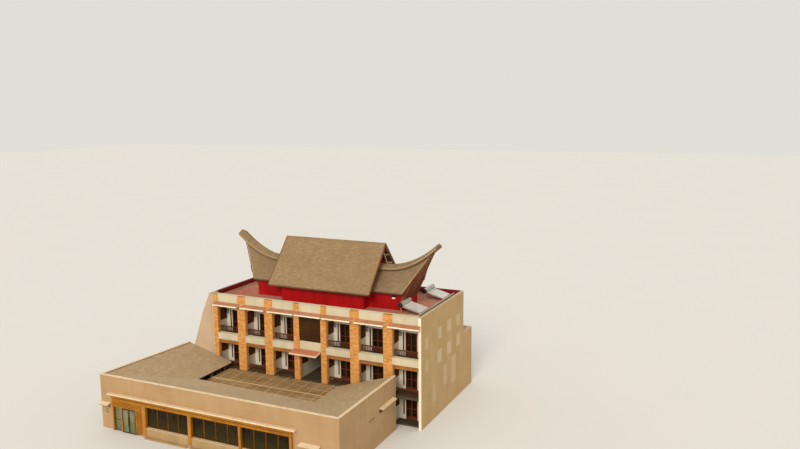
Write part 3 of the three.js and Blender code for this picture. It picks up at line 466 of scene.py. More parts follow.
# Makes a piece of the building. Turned has its face normals pointed outwards.
def addPiece(name, points, faces, material, tones=None, turned=False, smooth=False):
    mesh = bpy.data.meshes.new(name)
    mesh.from_pydata(place(points).tolist(), [], [list(map(int, face)) for face in faces])
    mesh.materials.append(materials[material])
    if tones is not None:
        layer = mesh.attributes.new("tone", "FLOAT", "POINT")
        layer.data.foreach_set("value", np.asarray(tones, np.float32))
    if turned:
        shape = bmesh.new()
        shape.from_mesh(mesh)
        bmesh.ops.recalc_face_normals(shape, faces=shape.faces)
        shape.to_mesh(mesh)
        shape.free()
    if smooth:
        mesh.polygons.foreach_set("use_smooth", [True] * len(mesh.polygons))
    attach(addObject(name, mesh), "building")

# Six-sided solids from their corners: four round the back, then the four in front of them.
solidFaces = np.array([
    [0, 3, 2, 1], [4, 5, 6, 7], [0, 1, 5, 4], [1, 2, 6, 5], [2, 3, 7, 6], [3, 0, 4, 7],
])

# Corners come as one array or as a list of arrays. Toned gives each solid its own tone.
def addSolids(name, corners, material, toned=False):
    corners = np.concatenate([np.reshape(c, (-1, 8, 3)) for c in corners])
    faces = solidFaces[None] + 8 * np.arange(len(corners))[:, None, None]
    tones = np.repeat(random.random(len(corners)), 8) if toned else None
    addPiece(name, corners.reshape(-1, 3), faces.reshape(-1, 4), material, tones)

cornerSigns = np.array([
    [-1, -1, -1], [1, -1, -1], [1, 1, -1], [-1, 1, -1],
    [-1, -1, 1], [1, -1, 1], [1, 1, 1], [-1, 1, 1],
])

# Upright boxes from rows of x0, x1, y0, y1, z0, z1: a corner is the middle and half the size
# by its sign.
def boxCorners(rows):
    rows = np.atleast_2d(np.asarray(rows, float))
    low, high = rows[:, 0::2], rows[:, 1::2]
    return (low + high)[:, None] / 2 + (high - low)[:, None] / 2 * cornerSigns[None]

def addBoxes(name, rows, material, toned=False):
    addSolids(name, boxCorners(rows), material, toned)

# Swaps the two rings of any solid that came out inside out.
def outward(corners):
    a, b, c = (corners[:, i] - corners[:, 0] for i in (4, 1, 3))
    wrong = np.sum(np.cross(b, c) * a, axis=1) < 0
    fixed = corners.copy()
    fixed[wrong] = corners[wrong][:, [4, 5, 6, 7, 0, 1, 2, 3]]
    return fixed

# A board between two points: a rectangle of width and depth carried from start to end.
def boardCorners(starts, ends, width, depth, side):
    starts, ends = np.atleast_2d(starts).astype(float), np.atleast_2d(ends).astype(float)
    along = ends - starts
    along /= np.linalg.norm(along, axis=1, keepdims=True)
    side = np.broadcast_to(np.asarray(side, float), along.shape)
    side = side - along * np.sum(side * along, axis=1, keepdims=True)
    side /= np.linalg.norm(side, axis=1, keepdims=True)
    up = np.cross(along, side)
    ring = [(-1, -1), (-1, 1), (1, 1), (1, -1)]
    return outward(np.stack([
        end + side * width / 2 * a + up * depth / 2 * b for end in (starts, ends) for a, b in ring
    ], 1))

# Four bars round an opening that lies across y: left, right, foot and head.
def frameBars(x0, x1, z0, z1, y0, y1, bar):
    return [
        [x0, x0 + bar, y0, y1, z0, z1], [x1 - bar, x1, y0, y1, z0, z1],
        [x0 + bar, x1 - bar, y0, y1, z0, z0 + bar], [x0 + bar, x1 - bar, y0, y1, z1 - bar, z1],
    ]

# Tilted slats between two heights: every slat is a thin board whose outer edge hangs lower.
def tiltedSlats(start, end, z0, z1, pitch, depth, thick, fall):
    heights = np.arange(z0 + pitch / 2, z1, pitch)
    starts, ends = (np.column_stack([np.tile(point, (len(heights), 1)), heights])
                    for point in (start, end))
    along = np.array([*np.subtract(end, start), 0.0])
    side = np.cross(along / np.linalg.norm(along), (0, 0, 1.0)) - np.array([0, 0, fall])
    return boardCorners(starts, ends, depth, thick, side)

# Boards with eased edges, from rows like a box's: an eight-sided profile carried along x.
def addEased(name, rows, ease, material):
    x0, x1, y0, y1, z0, z1 = np.array(rows, float).T
    ring = [
        (y0 + ease, z0), (y1 - ease, z0), (y1, z0 + ease), (y1, z1 - ease),
        (y1 - ease, z1), (y0 + ease, z1), (y0, z1 - ease), (y0, z0 + ease),
    ]
    points = np.stack([np.stack([x, y, z], -1) for x in (x0, x1) for y, z in ring], 1)
    k = np.arange(8)
    sides = np.stack([k + 8, (k + 1) % 8 + 8, (k + 1) % 8, k], 1)
    start = 16 * np.arange(len(rows))[:, None]
    faces = [*(sides + start[:, None]).reshape(-1, 4), *(k + start), *(15 - k + start)]
    addPiece(name, points.reshape(-1, 3), faces, material, turned=True)

# How courses vary: how far each reaches up in rows, the first piece's least length and what
# chance adds to it, the last piece's least length, the cuts' shift, and the same for thickness.
laying = {
    "reach": 1.12, "first": 0.35, "firstExtra": 0.5, "last": 0.3, "shift": 0.12,
    "thick": 0.8, "thickExtra": 0.4, "thin": 0.25,
}

# Lays courses of flat pieces on a surface of s (along, metres) and t (0 at the eave, 1 at the
# top). Every piece is a slice of the surface between two cuts, thick at its lower edge, thin
# at its upper.
def layCourses(surface, low, high, look):
    c, count, width, half = laying, look["courses"], look["width"], look["gap"] / 2
    solids = []
    for row in range(count):
        t0, t1 = row / count, min((row + c["reach"]) / count, 1.0)
        a0, a1, b0, b1 = low(t0), low(t1), high(t0), high(t1)
        first = max(a0, a1) + width * (c["first"] + c["firstExtra"] * random.random())
        cuts = np.arange(first, min(b0, b1) - width * c["last"], width)
        cuts = cuts + (random.random(len(cuts)) - 0.5) * width * c["shift"]
        left0, left1 = np.append(a0, cuts + half), np.append(a1, cuts + half)
        right0, right1 = np.append(cuts - half, b0), np.append(cuts - half, b1)
        lower = np.stack([surface(s, np.full_like(s, t)) for s, t in (
            (left0, t0), (right0, t0), (right1, t1), (left1, t1),
        )], 1)
        normal = np.cross(lower[:, 1] - lower[:, 0], lower[:, 3] - lower[:, 0])
        normal /= np.linalg.norm(normal, axis=1, keepdims=True)
        normal *= np.where(normal[:, 2:] < 0, -1, 1)
        vary = c["thick"] + c["thickExtra"] * random.random((len(cuts) + 1, 1))
        upper = lower.copy()
        upper[:, :2] += (normal * (look["lift"] + look["thick"] * vary))[:, None]
        upper[:, 2:] += (normal * (look["lift"] + look["thick"] * c["thin"]))[:, None]
        solids.append(outward(np.concatenate([lower, upper], 1)))
    return np.concatenate(solids)

# Building lengths that several pieces share.
leftFaceX = -23.4
leftInnerX = -23.15
blockDepth = 10.9
deckZ = 9.9
topZ = 10.5
seatZ = 10.499
frontFaceY = -11.0
annexLeftX = -6.0
ridgeY = blockDepth / 2
centreX = leftFaceX / 2
floorZs = {"ground": 0.15, "second": 3.0, "third": 6.3}
pierLefts = [-22.9, -19.92, -16.72, -13.36, -10.36, -7.2, -3.76]
pierWidths = [0.52, 0.9, 0.9, 0.6, 0.6, 0.9, 0.9]
piers = list(zip(pierLefts, pierWidths))
stairBay = 3
bays = [(left + width, after) for (left, width), after in zip(piers, [*pierLefts[1:], -0.25])]
roomBays = [bay for i, bay in enumerate(bays) if i != stairBay]

# Main roof: two straight slopes. y and z run evenly from the eave at 0 to the ridge at 1.
mainRoof = {
    "halfLength": 5.6, "eaveHalfSpan": 3.7, "eaveZ": 11.65, "ridgeZ": 15.95,
    "courses": 36, "width": 0.3, "gap": 0.008, "thick": 0.02, "lift": 0.002,
    "tilePitch": 0.35, "tileLength": 0.37, "tileFall": 0.2, "vergeOut": 0.03,
    "wallHalf": 4.61, "strutHalf": 5.55, "strutShares": (0.12, 0.34, 0.56, 0.78),
}

def mainLine(side, t):
    c = mainRoof
    return (ridgeY + side * c["eaveHalfSpan"] * (1 - t),
            c["eaveZ"] + (c["ridgeZ"] - c["eaveZ"]) * t)

def dressMainRoof():
    c = mainRoof
    left, right = centreX - c["halfLength"], centreX + c["halfLength"]
    for label, side in (("front", -1), ("rear", 1)):
        solids = layCourses(lambda s, t: np.stack([s, *mainLine(side, t)], -1),
                            lambda t: left, lambda t: right, c)
        addSolids(f"main_roof_{label}_shingles", solids, "shingle", toned=True)
    crown = np.array([[x, ridgeY, c["ridgeZ"] + 0.02]
                      for x in np.arange(left, right - 0.01, c["tilePitch"])])
    ends = crown + np.array([c["tileLength"], 0, 0])
    ends[:, 0] = np.minimum(ends[:, 0], right)
    slope = np.array([0, c["eaveHalfSpan"], -(c["ridgeZ"] - c["eaveZ"])])
    slope = slope / np.linalg.norm(slope)
    tiles, boards, edges, struts = [], [], [], []
    for side in (-1, 1):
        fall = slope * np.array([1, side, 1]) * c["tileFall"]
        tiles.append(boardCorners(crown + fall / 2, ends + fall / 2, 0.21, 0.025, fall))
    for out in (-1, 1):
        endX = centreX + out * c["halfLength"] + out * c["vergeOut"]
        wallX, strutX = centreX + out * c["wallHalf"], centreX + out * c["strutHalf"]
        for side in (-1, 1):
            eave, top = (np.array([endX, *mainLine(side, t)]) for t in (0, 1))
            for rows, up, width, depth in ((boards, -0.16, 0.05, 0.3), (edges, 0.01, 0.09, 0.05)):
                line = [point + (0, 0, up) for point in (eave, top)]
                rows.append(boardCorners(*line, width, depth, (1, 0, 0)))
            for share in c["strutShares"]:
                y, z = mainLine(side, share)
                struts.append(boardCorners((wallX, y, z - 0.34), (strutX, y, z - 0.34),
                                           0.1, 0.14, (0, 1, 0)))
            foot, head = ((strutX - out * 0.28, ridgeY + side * away, z)
                          for away, z in ((1.2, 13.55), (0.12, 15.2)))
            struts.append(boardCorners(foot, head, 0.08, 0.12, (1, 0, 0)))
    addSolids("main_ridge_tiles", tiles, "cap", toned=True)
    addSolids("main_verge_boards", boards, "verge")
    addSolids("main_verge_edges", edges, "shingle", toned=True)
    addSolids("main_gable_struts", struts, "paleBatten")

# Horn roofs: along a horn the ridge rises as a parabola and every line between ridge and eave
# is straight.
hornRoof = {
    "eaveHalfSpan": 2.2, "eaveZ": 11.66, "eaveEnd": 8.33, "tipEnd": 10.98, "centreHalf": 4.61,
    "ridgeLowZ": 13.75, "ridgeRise": 2.15, "lowEnd": 6.0, "vergePower": 1.04,
    "courses": 20, "width": 0.3, "gap": 0.008, "thick": 0.022, "lift": 0.012,
    "capStart": 0.9, "capHalf": 0.7, "capFall": 0.3, "capThick": 0.18, "capOver": 0.25,
    "endHalf": 8.2, "endHalfDepth": 1.75, "endThick": 0.17, "plateThick": 0.09,
    "gableFootZ": 10.8, "gableLean": 0.5, "roofThick": 0.13, "boards": 18,
    "railZs": (11.35, 12.3, 13.2, 14.0),
}

def hornRidgeZ(out):
    c = hornRoof
    run = np.maximum((out - c["lowEnd"]) / (c["tipEnd"] - c["lowEnd"]), 0)
    return c["ridgeLowZ"] + c["ridgeRise"] * run ** 2

# How far a horn's edge reaches from the centre, at t from the eave to the ridge.
def hornEnd(t):
    c = hornRoof
    return c["tipEnd"] + (c["eaveEnd"] - c["tipEnd"]) * (1 - t) ** (1 / c["vergePower"])

def hornZ(out, t):
    c = hornRoof
    along = (out - c["centreHalf"]) / (hornEnd(t) - c["centreHalf"])
    ridge = hornRidgeZ(c["centreHalf"] + along * (c["tipEnd"] - c["centreHalf"]))
    return c["eaveZ"] + (ridge - c["eaveZ"]) * t

def hornSlope(end, side):
    span = hornRoof["eaveHalfSpan"]
    return lambda s, t: np.stack([
        centreX + end * s, ridgeY + side * span * (1 - t), hornZ(s, t),
    ], -1)

# How far the leaning gable's face reaches from the centre, at a height.
def gableOut(z):
    c = hornRoof
    return c["endHalf"] + (z - c["gableFootZ"]) * c["gableLean"]

# Shingles, and a ridge cap: saddle strips that follow the ridge, each a little proud of the
# next, with a rim along both sides whose pale colour is a painted highlight on the cap's edge.
def roofHorn(name, end):
    c = hornRoof
    slopes = [layCourses(hornSlope(end, side), lambda t: c["centreHalf"], hornEnd, c)
              for side in (-1, 1)]
    addSolids(f"{name}_horn_shingles", slopes, "hornShingle", toned=True)
    outs = np.linspace(c["centreHalf"] + c["capStart"], c["tipEnd"] + c["capOver"] - 0.06, 19)
    crown = np.stack([centreX + end * outs, np.full_like(outs, ridgeY),
                      hornRidgeZ(outs) + c["capThick"]], -1)
    strips, rims = [], []
    for side in (-1, 1):
        rim = crown + np.array([0, side * c["capHalf"], -c["capFall"]])
        lower = np.stack([crown[:-1], crown[1:], rim[1:], rim[:-1]], 1)
        upper = lower.copy()
        upper[:, [0, 3], 2] += 0.012
        upper[:, [1, 2], 2] += 0.034
        strips.append(outward(np.concatenate([lower, upper], 1)))
        rim = rim - np.array([0, 0, 0.005])
        rims.append(boardCorners(rim[:-1], rim[1:], 0.04, 0.06, (0, 1, 0)))
    addSolids(f"{name}_cap_strips", strips, "cap", toned=True)
    # The rims' pale colour is a painted highlight along the cap's edges.
    addSolids(f"{name}_cap_highlight_rims", rims, "edge")

# Verge: boards hung under the raking edge, a pale strip on top, and purlin ends between the
# leaning gable and the edge, where they have room.
def edgeHorn(name, end):
    ts, picks = np.linspace(0, 1, 15), np.linspace(0.06, 0.86, 15)
    drop = np.array([0, 0, 0.27])
    boards, edges, stubs = [], [], []
    for side in (-1, 1):
        slope = hornSlope(end, side)
        edge = slope(hornEnd(ts), ts) + np.array([end * 0.03, 0, 0])
        hang = edge - np.array([0, 0, 0.1])
        boards.append(boardCorners(hang[:-1], hang[1:], 0.05, 0.2, (1, 0, 0)))
        edges.append(boardCorners(edge[:-1], edge[1:], 0.1, 0.05, (1, 0, 0)))
        outer = slope(hornEnd(picks) - 0.02, picks)
        inner = outer.copy()
        inner[:, 0] = centreX + end * gableOut(outer[:, 2] - 0.3) - end * 0.1
        fits = (outer[:, 0] - inner[:, 0]) * end > 0.15
        stubs.append(boardCorners(inner[fits] - drop, outer[fits] - drop, 0.07, 0.1, (0, 1, 0)))
    addSolids(f"{name}_horn_verge", boards, "verge")
    addSolids(f"{name}_horn_edges", edges, "edge")
    addSolids(f"{name}_horn_purlins", stubs, "paleBatten")

# Gable: upright boards on the leaning plate, cut off under the roof, cheeks that close the
# sides behind it, cross rails where they still fit, and battens over every third joint.
def closeHorn(name, end):
    c = hornRoof
    half, footZ = c["endHalfDepth"], c["gableFootZ"]

    def onPlate(y, z, proud):
        return np.stack([centreX + end * (gableOut(z) + proud), ridgeY + y, z], -1)

    # The height where the leaning plane meets the roof's underside: each step goes half way.
    def underRoof(y):
        share = 1 - np.abs(y) / c["eaveHalfSpan"]
        z = np.full_like(y, 12.5)
        for _ in range(40):
            z = 0.5 * z + 0.5 * (hornZ(gableOut(z), share) - c["roofThick"] - 0.02)
        return z

    joints = np.linspace(-half, half, c["boards"] + 1)
    lefts, rights = joints[:-1] + 0.006, joints[1:] - 0.006
    foot, tops = np.full_like(lefts, footZ), [underRoof(lefts), underRoof(rights)]
    outline = ((lefts, foot), (rights, foot), (rights, tops[1]), (lefts, tops[0]))
    corners = np.stack([onPlate(y, z, proud) for proud in (0.0, 0.025) for y, z in outline], 1)
    addSolids(f"{name}_gable_boards", outward(corners), "redBoard", toned=True)
    # The cheeks reach up to the underside of the roof, and stand 12 mm in from the plate's side.
    wallOut, plateOut = c["endHalf"] - c["endThick"], c["endHalf"] - c["plateThick"]
    wallTop = hornZ(wallOut, 1 - half / c["eaveHalfSpan"]) - c["roofThick"] - 0.01
    plateTop = tops[0][0] + 0.01
    line = np.array([
        (wallOut, footZ - 0.02), (plateOut, footZ - 0.02),
        (plateOut + (plateTop - footZ) * c["gableLean"], plateTop), (wallOut, wallTop),
    ])
    cheeks = [outward(np.concatenate([
        np.stack([centreX + end * line[:, 0], np.full(4, ridgeY + side * y), line[:, 1]], -1)
        for y in (half - 0.06, half - 0.012)
    ])[None]) for side in (-1, 1)]
    addSolids(f"{name}_gable_cheeks", cheeks, "redBoard", toned=True)
    lowTops = np.minimum(*tops)
    rails = []
    for z in c["railZs"]:
        inside = lowTops > z + 0.1
        if inside.any():
            line = [onPlate(y, z, 0.045) for y in (lefts[inside][0], rights[inside][-1])]
            rails.append(boardCorners(*line, 0.05, 0.12, (end, 0, 0)))
    addSolids(f"{name}_gable_rails", rails, "brownY")
    picks = np.arange(1, len(lefts) - 1, 3)
    at = lefts[picks] - 0.006
    feet = onPlate(at, np.full_like(at, footZ + 0.02), 0.04)
    heads = onPlate(at, lowTops[picks] - 0.04, 0.04)
    addSolids(f"{name}_gable_battens", boardCorners(feet, heads, 0.09, 0.035, (0, 1, 0)),
              "screenWood")

# Wing roofs: flat facets. t runs from the court eave to the outer top edge.
wingRoof = {
    "courses": 26, "width": 0.34, "gap": 0.008, "thick": 0.014, "lift": 0.002,
    "frontLeft": (-27.1, -10.8, 5.02), "frontRight": (-2.45, -10.8, 5.02),
    "rearLeft": (-26.05, 0.0, 5.02), "rearRight": (-2.45, -0.6, 5.02),
    "courtFrontLeft": (-21.0, -5.5, 3.7), "courtFrontRight": (-8.15, -4.9, 3.2),
    "courtRearLeft": (-21.0, 0.0, 3.7), "courtRearRight": (-8.15, -0.6, 3.2),
}

# Height of a roof made of two triangles that share the diagonal from a to c.
def facetZ(x, y, keys):
    a, b, c, d = (np.array(wingRoof[key]) for key in keys)

    def onPlane(p, q, r):
        n = np.cross(q - p, r - p)
        return p[2] - (n[0] * (x - p[0]) + n[1] * (y - p[1])) / n[2]
    cross = (c[0] - a[0]) * (y - a[1]) - (c[1] - a[1]) * (x - a[0])
    sideOfB = (c[0] - a[0]) * (b[1] - a[1]) - (c[1] - a[1]) * (b[0] - a[0])
    return np.where(cross * sideOfB >= 0, onPlane(a, b, c), onPlane(a, c, d))

def leftWing(s, t):
    keys = ("frontLeft", "courtFrontLeft", "courtRearLeft", "rearLeft")
    (frontX, frontY, _), _, (courtX, _, _), (rearX, _, _) = (wingRoof[key] for key in keys)
    x = courtX + t * (rearX + (frontX - rearX) * s / frontY - courtX)
    return np.stack([x, s, facetZ(x, s, keys)], -1)

def rightWing(s, t):
    keys = ("frontRight", "rearRight", "courtRearRight", "courtFrontRight")
    outerX, courtX = (wingRoof[key][0] for key in keys[1:3])
    x = courtX + t * (outerX - courtX)
    return np.stack([x, s, facetZ(x, s, keys)], -1)

def frontWing(s, t):
    keys = ("frontLeft", "frontRight", "courtFrontRight", "courtFrontLeft")
    (_, outerY, _), _, (x1, y1, _), (x0, y0, _) = (wingRoof[key] for key in keys)
    eave = y0 + (y1 - y0) * (s - x0) / (x1 - x0)
    y = eave + t * (outerY - eave)
    return np.stack([s, y, facetZ(s, y, keys)], -1)

# Where courses end along a hip, which runs evenly from the court's corner to the outer one.
def alongHip(corner, axis):
    start, end = (wingRoof[f"{part}{corner}"][axis] for part in ("courtFront", "front"))
    return lambda t: start + (end - start) * t

def dressWings():
    w = wingRoof
    left = layCourses(leftWing, alongHip("Left", 1), lambda t: -0.01, w)
    right = layCourses(rightWing, alongHip("Right", 1), lambda t: w["rearRight"][1], w)
    front = layCourses(frontWing, alongHip("Left", 0), alongHip("Right", 0), w)
    addSolids("left_wing_shingles", left, "wingShingle", toned=True)
    addSolids("right_wing_shingles", right, "wingShingle", toned=True)
    # The front wing's lighter shingles carry painted light.
    addSolids("front_wing_shingles", front, "litFrontShingle", toned=True)
    # A wall under the rear edge of the left wing's roof, from its outer wall to the raking fin.
    head = [(-26.07, -0.12, 4.825), (-25.0, -0.12, 4.555), (-25.0, -0.002, 4.555),
            (-26.07, -0.002, 4.825)]
    foot = [(x, y, 0.0) for x, y, _ in head]
    addSolids("left_wing_rear_wall", outward(np.array([foot + head])), "tan")
    # Pale flashing caps the outer walls' tops, and pale boards close the court eaves.
    addSolids("wing_flashing", [
        boxCorners([-27.3, -2.25, -11.03, -10.77, 5.09, 5.13]),
        boxCorners([-2.48, -2.22, -10.77, -0.6, 5.09, 5.13]),
        boardCorners((-27.165, -10.77, 5.11), (-26.12, 0.0, 5.11), 0.25, 0.04, (1, 0, 0)),
    ], "flashing")
    eaves = (
        ((-20.97, -5.45, 3.61), (-20.97, 0.0, 3.61), (1, 0, 0)),
        ((-8.17, -4.9, 3.11), (-8.17, -0.6, 3.11), (1, 0, 0)),
        ((-21.0, -5.47, 3.61), (-8.15, -4.87, 3.11), (0, 1, 0)),
    )
    addSolids("court_eave_boards", [
        boardCorners(start, end, 0.03, 0.2, side) for start, end, side in eaves
    ], "flashing")

# Court roof: lapped slats along x, with pale battens over them.
courtRoof = {
    "left": -21.0, "right": -8.35, "front": -5.45, "rear": -0.12, "topZ": 3.0,
    "pitch": 0.11, "slat": 0.095, "lengths": 5, "battens": 10, "longBatten": (-3.02, -2.94),
}

def dressCourt():
    c = courtRoof
    left, right, front, rear, z = (c[key] for key in ("left", "right", "front", "rear", "topZ"))
    addBoxes("court_slats", [
        [a + 0.003, b - 0.003, y, min(y + c["slat"], rear), z - 0.005, z + 0.02]
        for y in np.arange(front, rear - 0.05, c["pitch"])
        for a, b in pairwise(np.linspace(left, right, c["lengths"] + 1))
    ], "courtSlat", toned=True)
    pitch = (right - left) / c["battens"]
    addBoxes("court_battens", [
        [x - 0.025, x + 0.025, front, rear, z + 0.015, z + 0.05]
        for x in left + pitch * (np.arange(c["battens"]) + 0.55)
    ], "paleBatten")
    addBoxes("court_long_batten", [[left, right, *c["longBatten"], z + 0.02, z + 0.06]],
             "paleBatten")

# Stacked stone: rows of uneven height, each cut into uneven lengths; every stone is a flat
# pyramid stump whose face is a little smaller than its back.
stoneWork = {
    "rowLow": 0.07, "rowHigh": 0.15, "lengthLow": 0.16, "lengthHigh": 0.42,
    "joint": 0.008, "bevel": 0.01, "depthLow": 0.014, "depthHigh": 0.034, "bed": 0.004,
    "pierDepth": 0.4,
}

def stoneRows(width):
    c = stoneWork
    cells = []
    z = 0.01
    while z < topZ - 0.03:
        z1 = min(z + random.uniform(c["rowLow"], c["rowHigh"]), topZ)
        u = 0.0
        while u < width - 0.001:
            u1 = u + random.uniform(c["lengthLow"], c["lengthHigh"])
            if width - u1 < c["lengthLow"]:
                u1 = width
            cells.append((u, u1, z, z1, random.uniform(c["depthLow"], c["depthHigh"])))
            u = u1
        z = z1
    return np.array(cells)

def stoneFace(origin, across, out, width):
    c = stoneWork
    cells = stoneRows(width)
    joint = c["joint"] / 2
    u0, u1, z0, z1, face = (cells + (joint, -joint, joint, -joint, 0)).T
    origin, across, out = (np.array(v, float) for v in (origin, across, out))
    up = np.array([0, 0, 1.0])
    return outward(np.stack([
        origin + u[:, None] * across + z[:, None] * up + depth[:, None] * out
        for inset, depth in ((0.0, np.full(len(cells), -c["bed"])), (c["bevel"], face))
        for u, z in ((u0 + inset, z0 + inset), (u1 - inset, z0 + inset),
                     (u1 - inset, z1 - inset), (u0 + inset, z1 - inset))
    ], 1))

def dressPiers():
    depth = stoneWork["pierDepth"]
    for i, (left, width) in enumerate(piers, 1):
        addSolids(f"pier_{i}_stones", [
            stoneFace((left, 0, 0), (1, 0, 0), (0, -1, 0), width),
            stoneFace((left + width, 0, 0), (0, 1, 0), (1, 0, 0), depth),
            stoneFace((left, depth, 0), (0, -1, 0), (-1, 0, 0), depth),
        ], "stone", toned=True)

# A bed of earth: a closed slab whose top is a grid lifted by noise that fades at the rim.
def addSoilBed(name, x0, x1, y0, y1, z0, z1, rough=0.03):
    nx, ny = max(int((x1 - x0) / 0.08), 3), max(int((y1 - y0) / 0.08), 3)
    x, y = np.meshgrid(np.linspace(x0, x1, nx), np.linspace(y0, y1, ny), indexing="ij")
    lift = rough * (random.random((nx, ny)) - 0.5)
    lift[[0, -1], :] = 0
    lift[:, [0, -1]] = 0
    points = np.concatenate([np.stack([x, y, z], -1).reshape(-1, 3)
                             for z in (z1 + lift, np.full_like(x, z0))])
    i, j = np.meshgrid(np.arange(nx - 1), np.arange(ny - 1), indexing="ij")
    a = (i * ny + j).ravel()
    upper = np.stack([a, a + ny, a + ny + 1, a + 1], 1)
    under = upper[:, ::-1] + nx * ny
    ring = np.concatenate([
        np.arange(nx) * ny, (nx - 1) * ny + np.arange(1, ny),
        np.arange(nx - 2, -1, -1) * ny + ny - 1, np.arange(ny - 2, 0, -1),
    ])
    after = np.roll(ring, -1)
    sides = np.stack([ring, ring + nx * ny, after + nx * ny, after], 1)
    addPiece(name, points, np.concatenate([upper, under, sides]), "soil")

# Balcony backs: glazed doors, slit windows and small vents.
balcony = {
    "wallY": 1.6, "doorOffset": 0.62, "doorWidth": 1.16, "doorHeight": 2.25, "bar": 0.07,
    "halfPost": 0.05, "rails": ((0.07, 0.3), (1.02, 1.08)),
    "slitOffset": 0.34, "slitWidth": 0.14, "slitSill": 0.45, "slitBar": 0.035,
    "ventLeft": -0.04, "ventWidth": 0.26, "ventLow": 1.85, "ventHigh": 2.3,
}

def dressBalconies():
    c = balcony
    wallY, bar, post, slitBar = (c[key] for key in ("wallY", "bar", "halfPost", "slitBar"))
    wood, pale, slits, grey, slats = [], [], [], [], []
    for floor in floorZs.values():
        sill, top = floor + c["slitSill"], floor + c["doorHeight"]
        low, high = floor + c["ventLow"], floor + c["ventHigh"]
        for left, _ in roomBays:
            x0, x1 = left + c["doorOffset"], left + c["doorOffset"] + c["doorWidth"]
            wood += frameBars(x0, x1, floor + 0.005, top, wallY - 0.025, 1.745, bar)
            middle = (x0 + x1) / 2
            wood.append([middle - post, middle + post, wallY, 1.74, floor + bar, top - bar])
            for a, b in ((x0 + bar, middle - post), (middle + post, x1 - bar)):
                wood += [[a, b, wallY + 0.03, 1.735, floor + foot, floor + head]
                         for foot, head in c["rails"]]
            s0, s1 = left + c["slitOffset"], left + c["slitOffset"] + c["slitWidth"]
            pale += frameBars(s0 - slitBar, s1 + slitBar, sill - slitBar, top + slitBar,
                              wallY - 0.006, wallY + 0.0005, slitBar)
            slits.append([s0, s1, wallY + 0.012, wallY + 0.024, sill, top])
            v0, v1 = left + c["ventLeft"], left + c["ventLeft"] + c["ventWidth"]
            grey += frameBars(v0, v1, low, high, 1.55, 1.6, 0.025)
            slats.append(tiltedSlats((v0 + 0.02, 1.578), (v1 - 0.02, 1.578), low + 0.03,
                                     high - 0.03, 0.05, 0.035, 0.008, 0.6))
    addBoxes("balcony_door_frames", wood, "doorWood")
    addBoxes("slit_frames", pale, "flashing")
    addBoxes("slit_panes", slits, "glass")
    addBoxes("vent_frames", grey, "ventGrey")
    addSolids("vent_slats", slats, "ventGrey")

# Louvred panels on the piers' right sides, and the dark door at the stair passage's far end.
# The panels run the return wall's full depth, so their dark timber near the front also stands
# in for the shade at the pier's side: painted shade.
louvres = {"front": 0.505, "rear": 1.585, "low": 1.35, "high": 2.6, "bar": 0.06, "inset": 0.1}

def dressLouvres():
    c = louvres
    y0, y1, bar = c["front"], c["rear"], c["bar"]
    middle = (y0 + y1) / 2
    panels, blades = [], []
    for floor in floorZs.values():
        z0, z1 = floor + c["low"], floor + c["high"]
        for left, width in piers:
            face = left + width - c["inset"]
            near = face + 0.0005
            panels += [[near, face + 0.034, a, b, z0, z1] for a, b in (
                (y0, y0 + bar), (y1 - bar, y1), (middle - 0.03, middle + 0.03))]
            panels += [[near, face + 0.032, y0 + bar, y1 - bar, a, b]
                       for a, b in ((z0, z0 + bar), (z1 - bar, z1))]
            panels.append([near, face + 0.005, y0 + bar, y1 - bar, z0 + bar, z1 - bar])
            blades.append(tiltedSlats((face + 0.019, y0 + 0.05), (face + 0.019, y1 - 0.05),
                                      z0 + 0.05, z1 - 0.05, 0.075, 0.022, 0.01, 0.7))
    addBoxes("louvre_frames", panels, "louvreWood")
    addSolids("louvre_blades", blades, "louvreWood")
    middle = sum(bays[stairBay]) / 2
    far = frameBars(middle - 0.7, middle + 0.7, 3.005, 5.25, 5.17, 5.3, 0.08)
    far.append([middle - 0.03, middle + 0.03, 5.19, 5.28, 3.09, 5.17])
    addBoxes("passage_door_frame", far, "doorWood")

# Railings: a handrail board with eased edges between the piers.
railing = {"y": 0.45, "width": 0.1, "cap": 0.03, "tops": {"second": 3.55, "third": 7.18}}

def dressRailings():
    c = railing
    y0, y1 = c["y"] - c["width"] / 2 + 0.005, c["y"] + c["width"] / 2
    addEased("handrails", [
        [left, right, y0, y1, top - 0.001, top + c["cap"]]
        for storey, top in c["tops"].items()
        for left, right in (roomBays if storey == "second" else bays)
    ], 0.01, "brownX")

# Timber beams under the planters: two boards a bay, with a shadow gap between them. In the
# stair bay they stand farther back.
beams = {"frontY": 0.06, "stairY": 0.4, "proud": 0.03, "lowZ": 5.5, "highZ": 5.9, "gap": 0.012}

def dressBeams():
    c = beams
    half = (c["lowZ"] + c["highZ"]) / 2
    heights = ((c["lowZ"] + 0.01, half - c["gap"] / 2), (half + c["gap"] / 2, c["highZ"] - 0.005))
    fronts = [c["stairY"] if i == stairBay else c["frontY"] for i in range(len(bays))]
    addEased("planter_beams", [
        [left + 0.004, right - 0.004, front - c["proud"], front, z0, z1]
        for (left, right), front in zip(bays, fronts) for z0, z1 in heights
    ], 0.008, "beamWood")

# Planters: a pale rim that stands a little proud, and a bed of earth.
planters = {"frontY": -0.05, "rearY": 0.38, "topZ": 6.56, "soilZ": 6.42, "rim": 0.03}

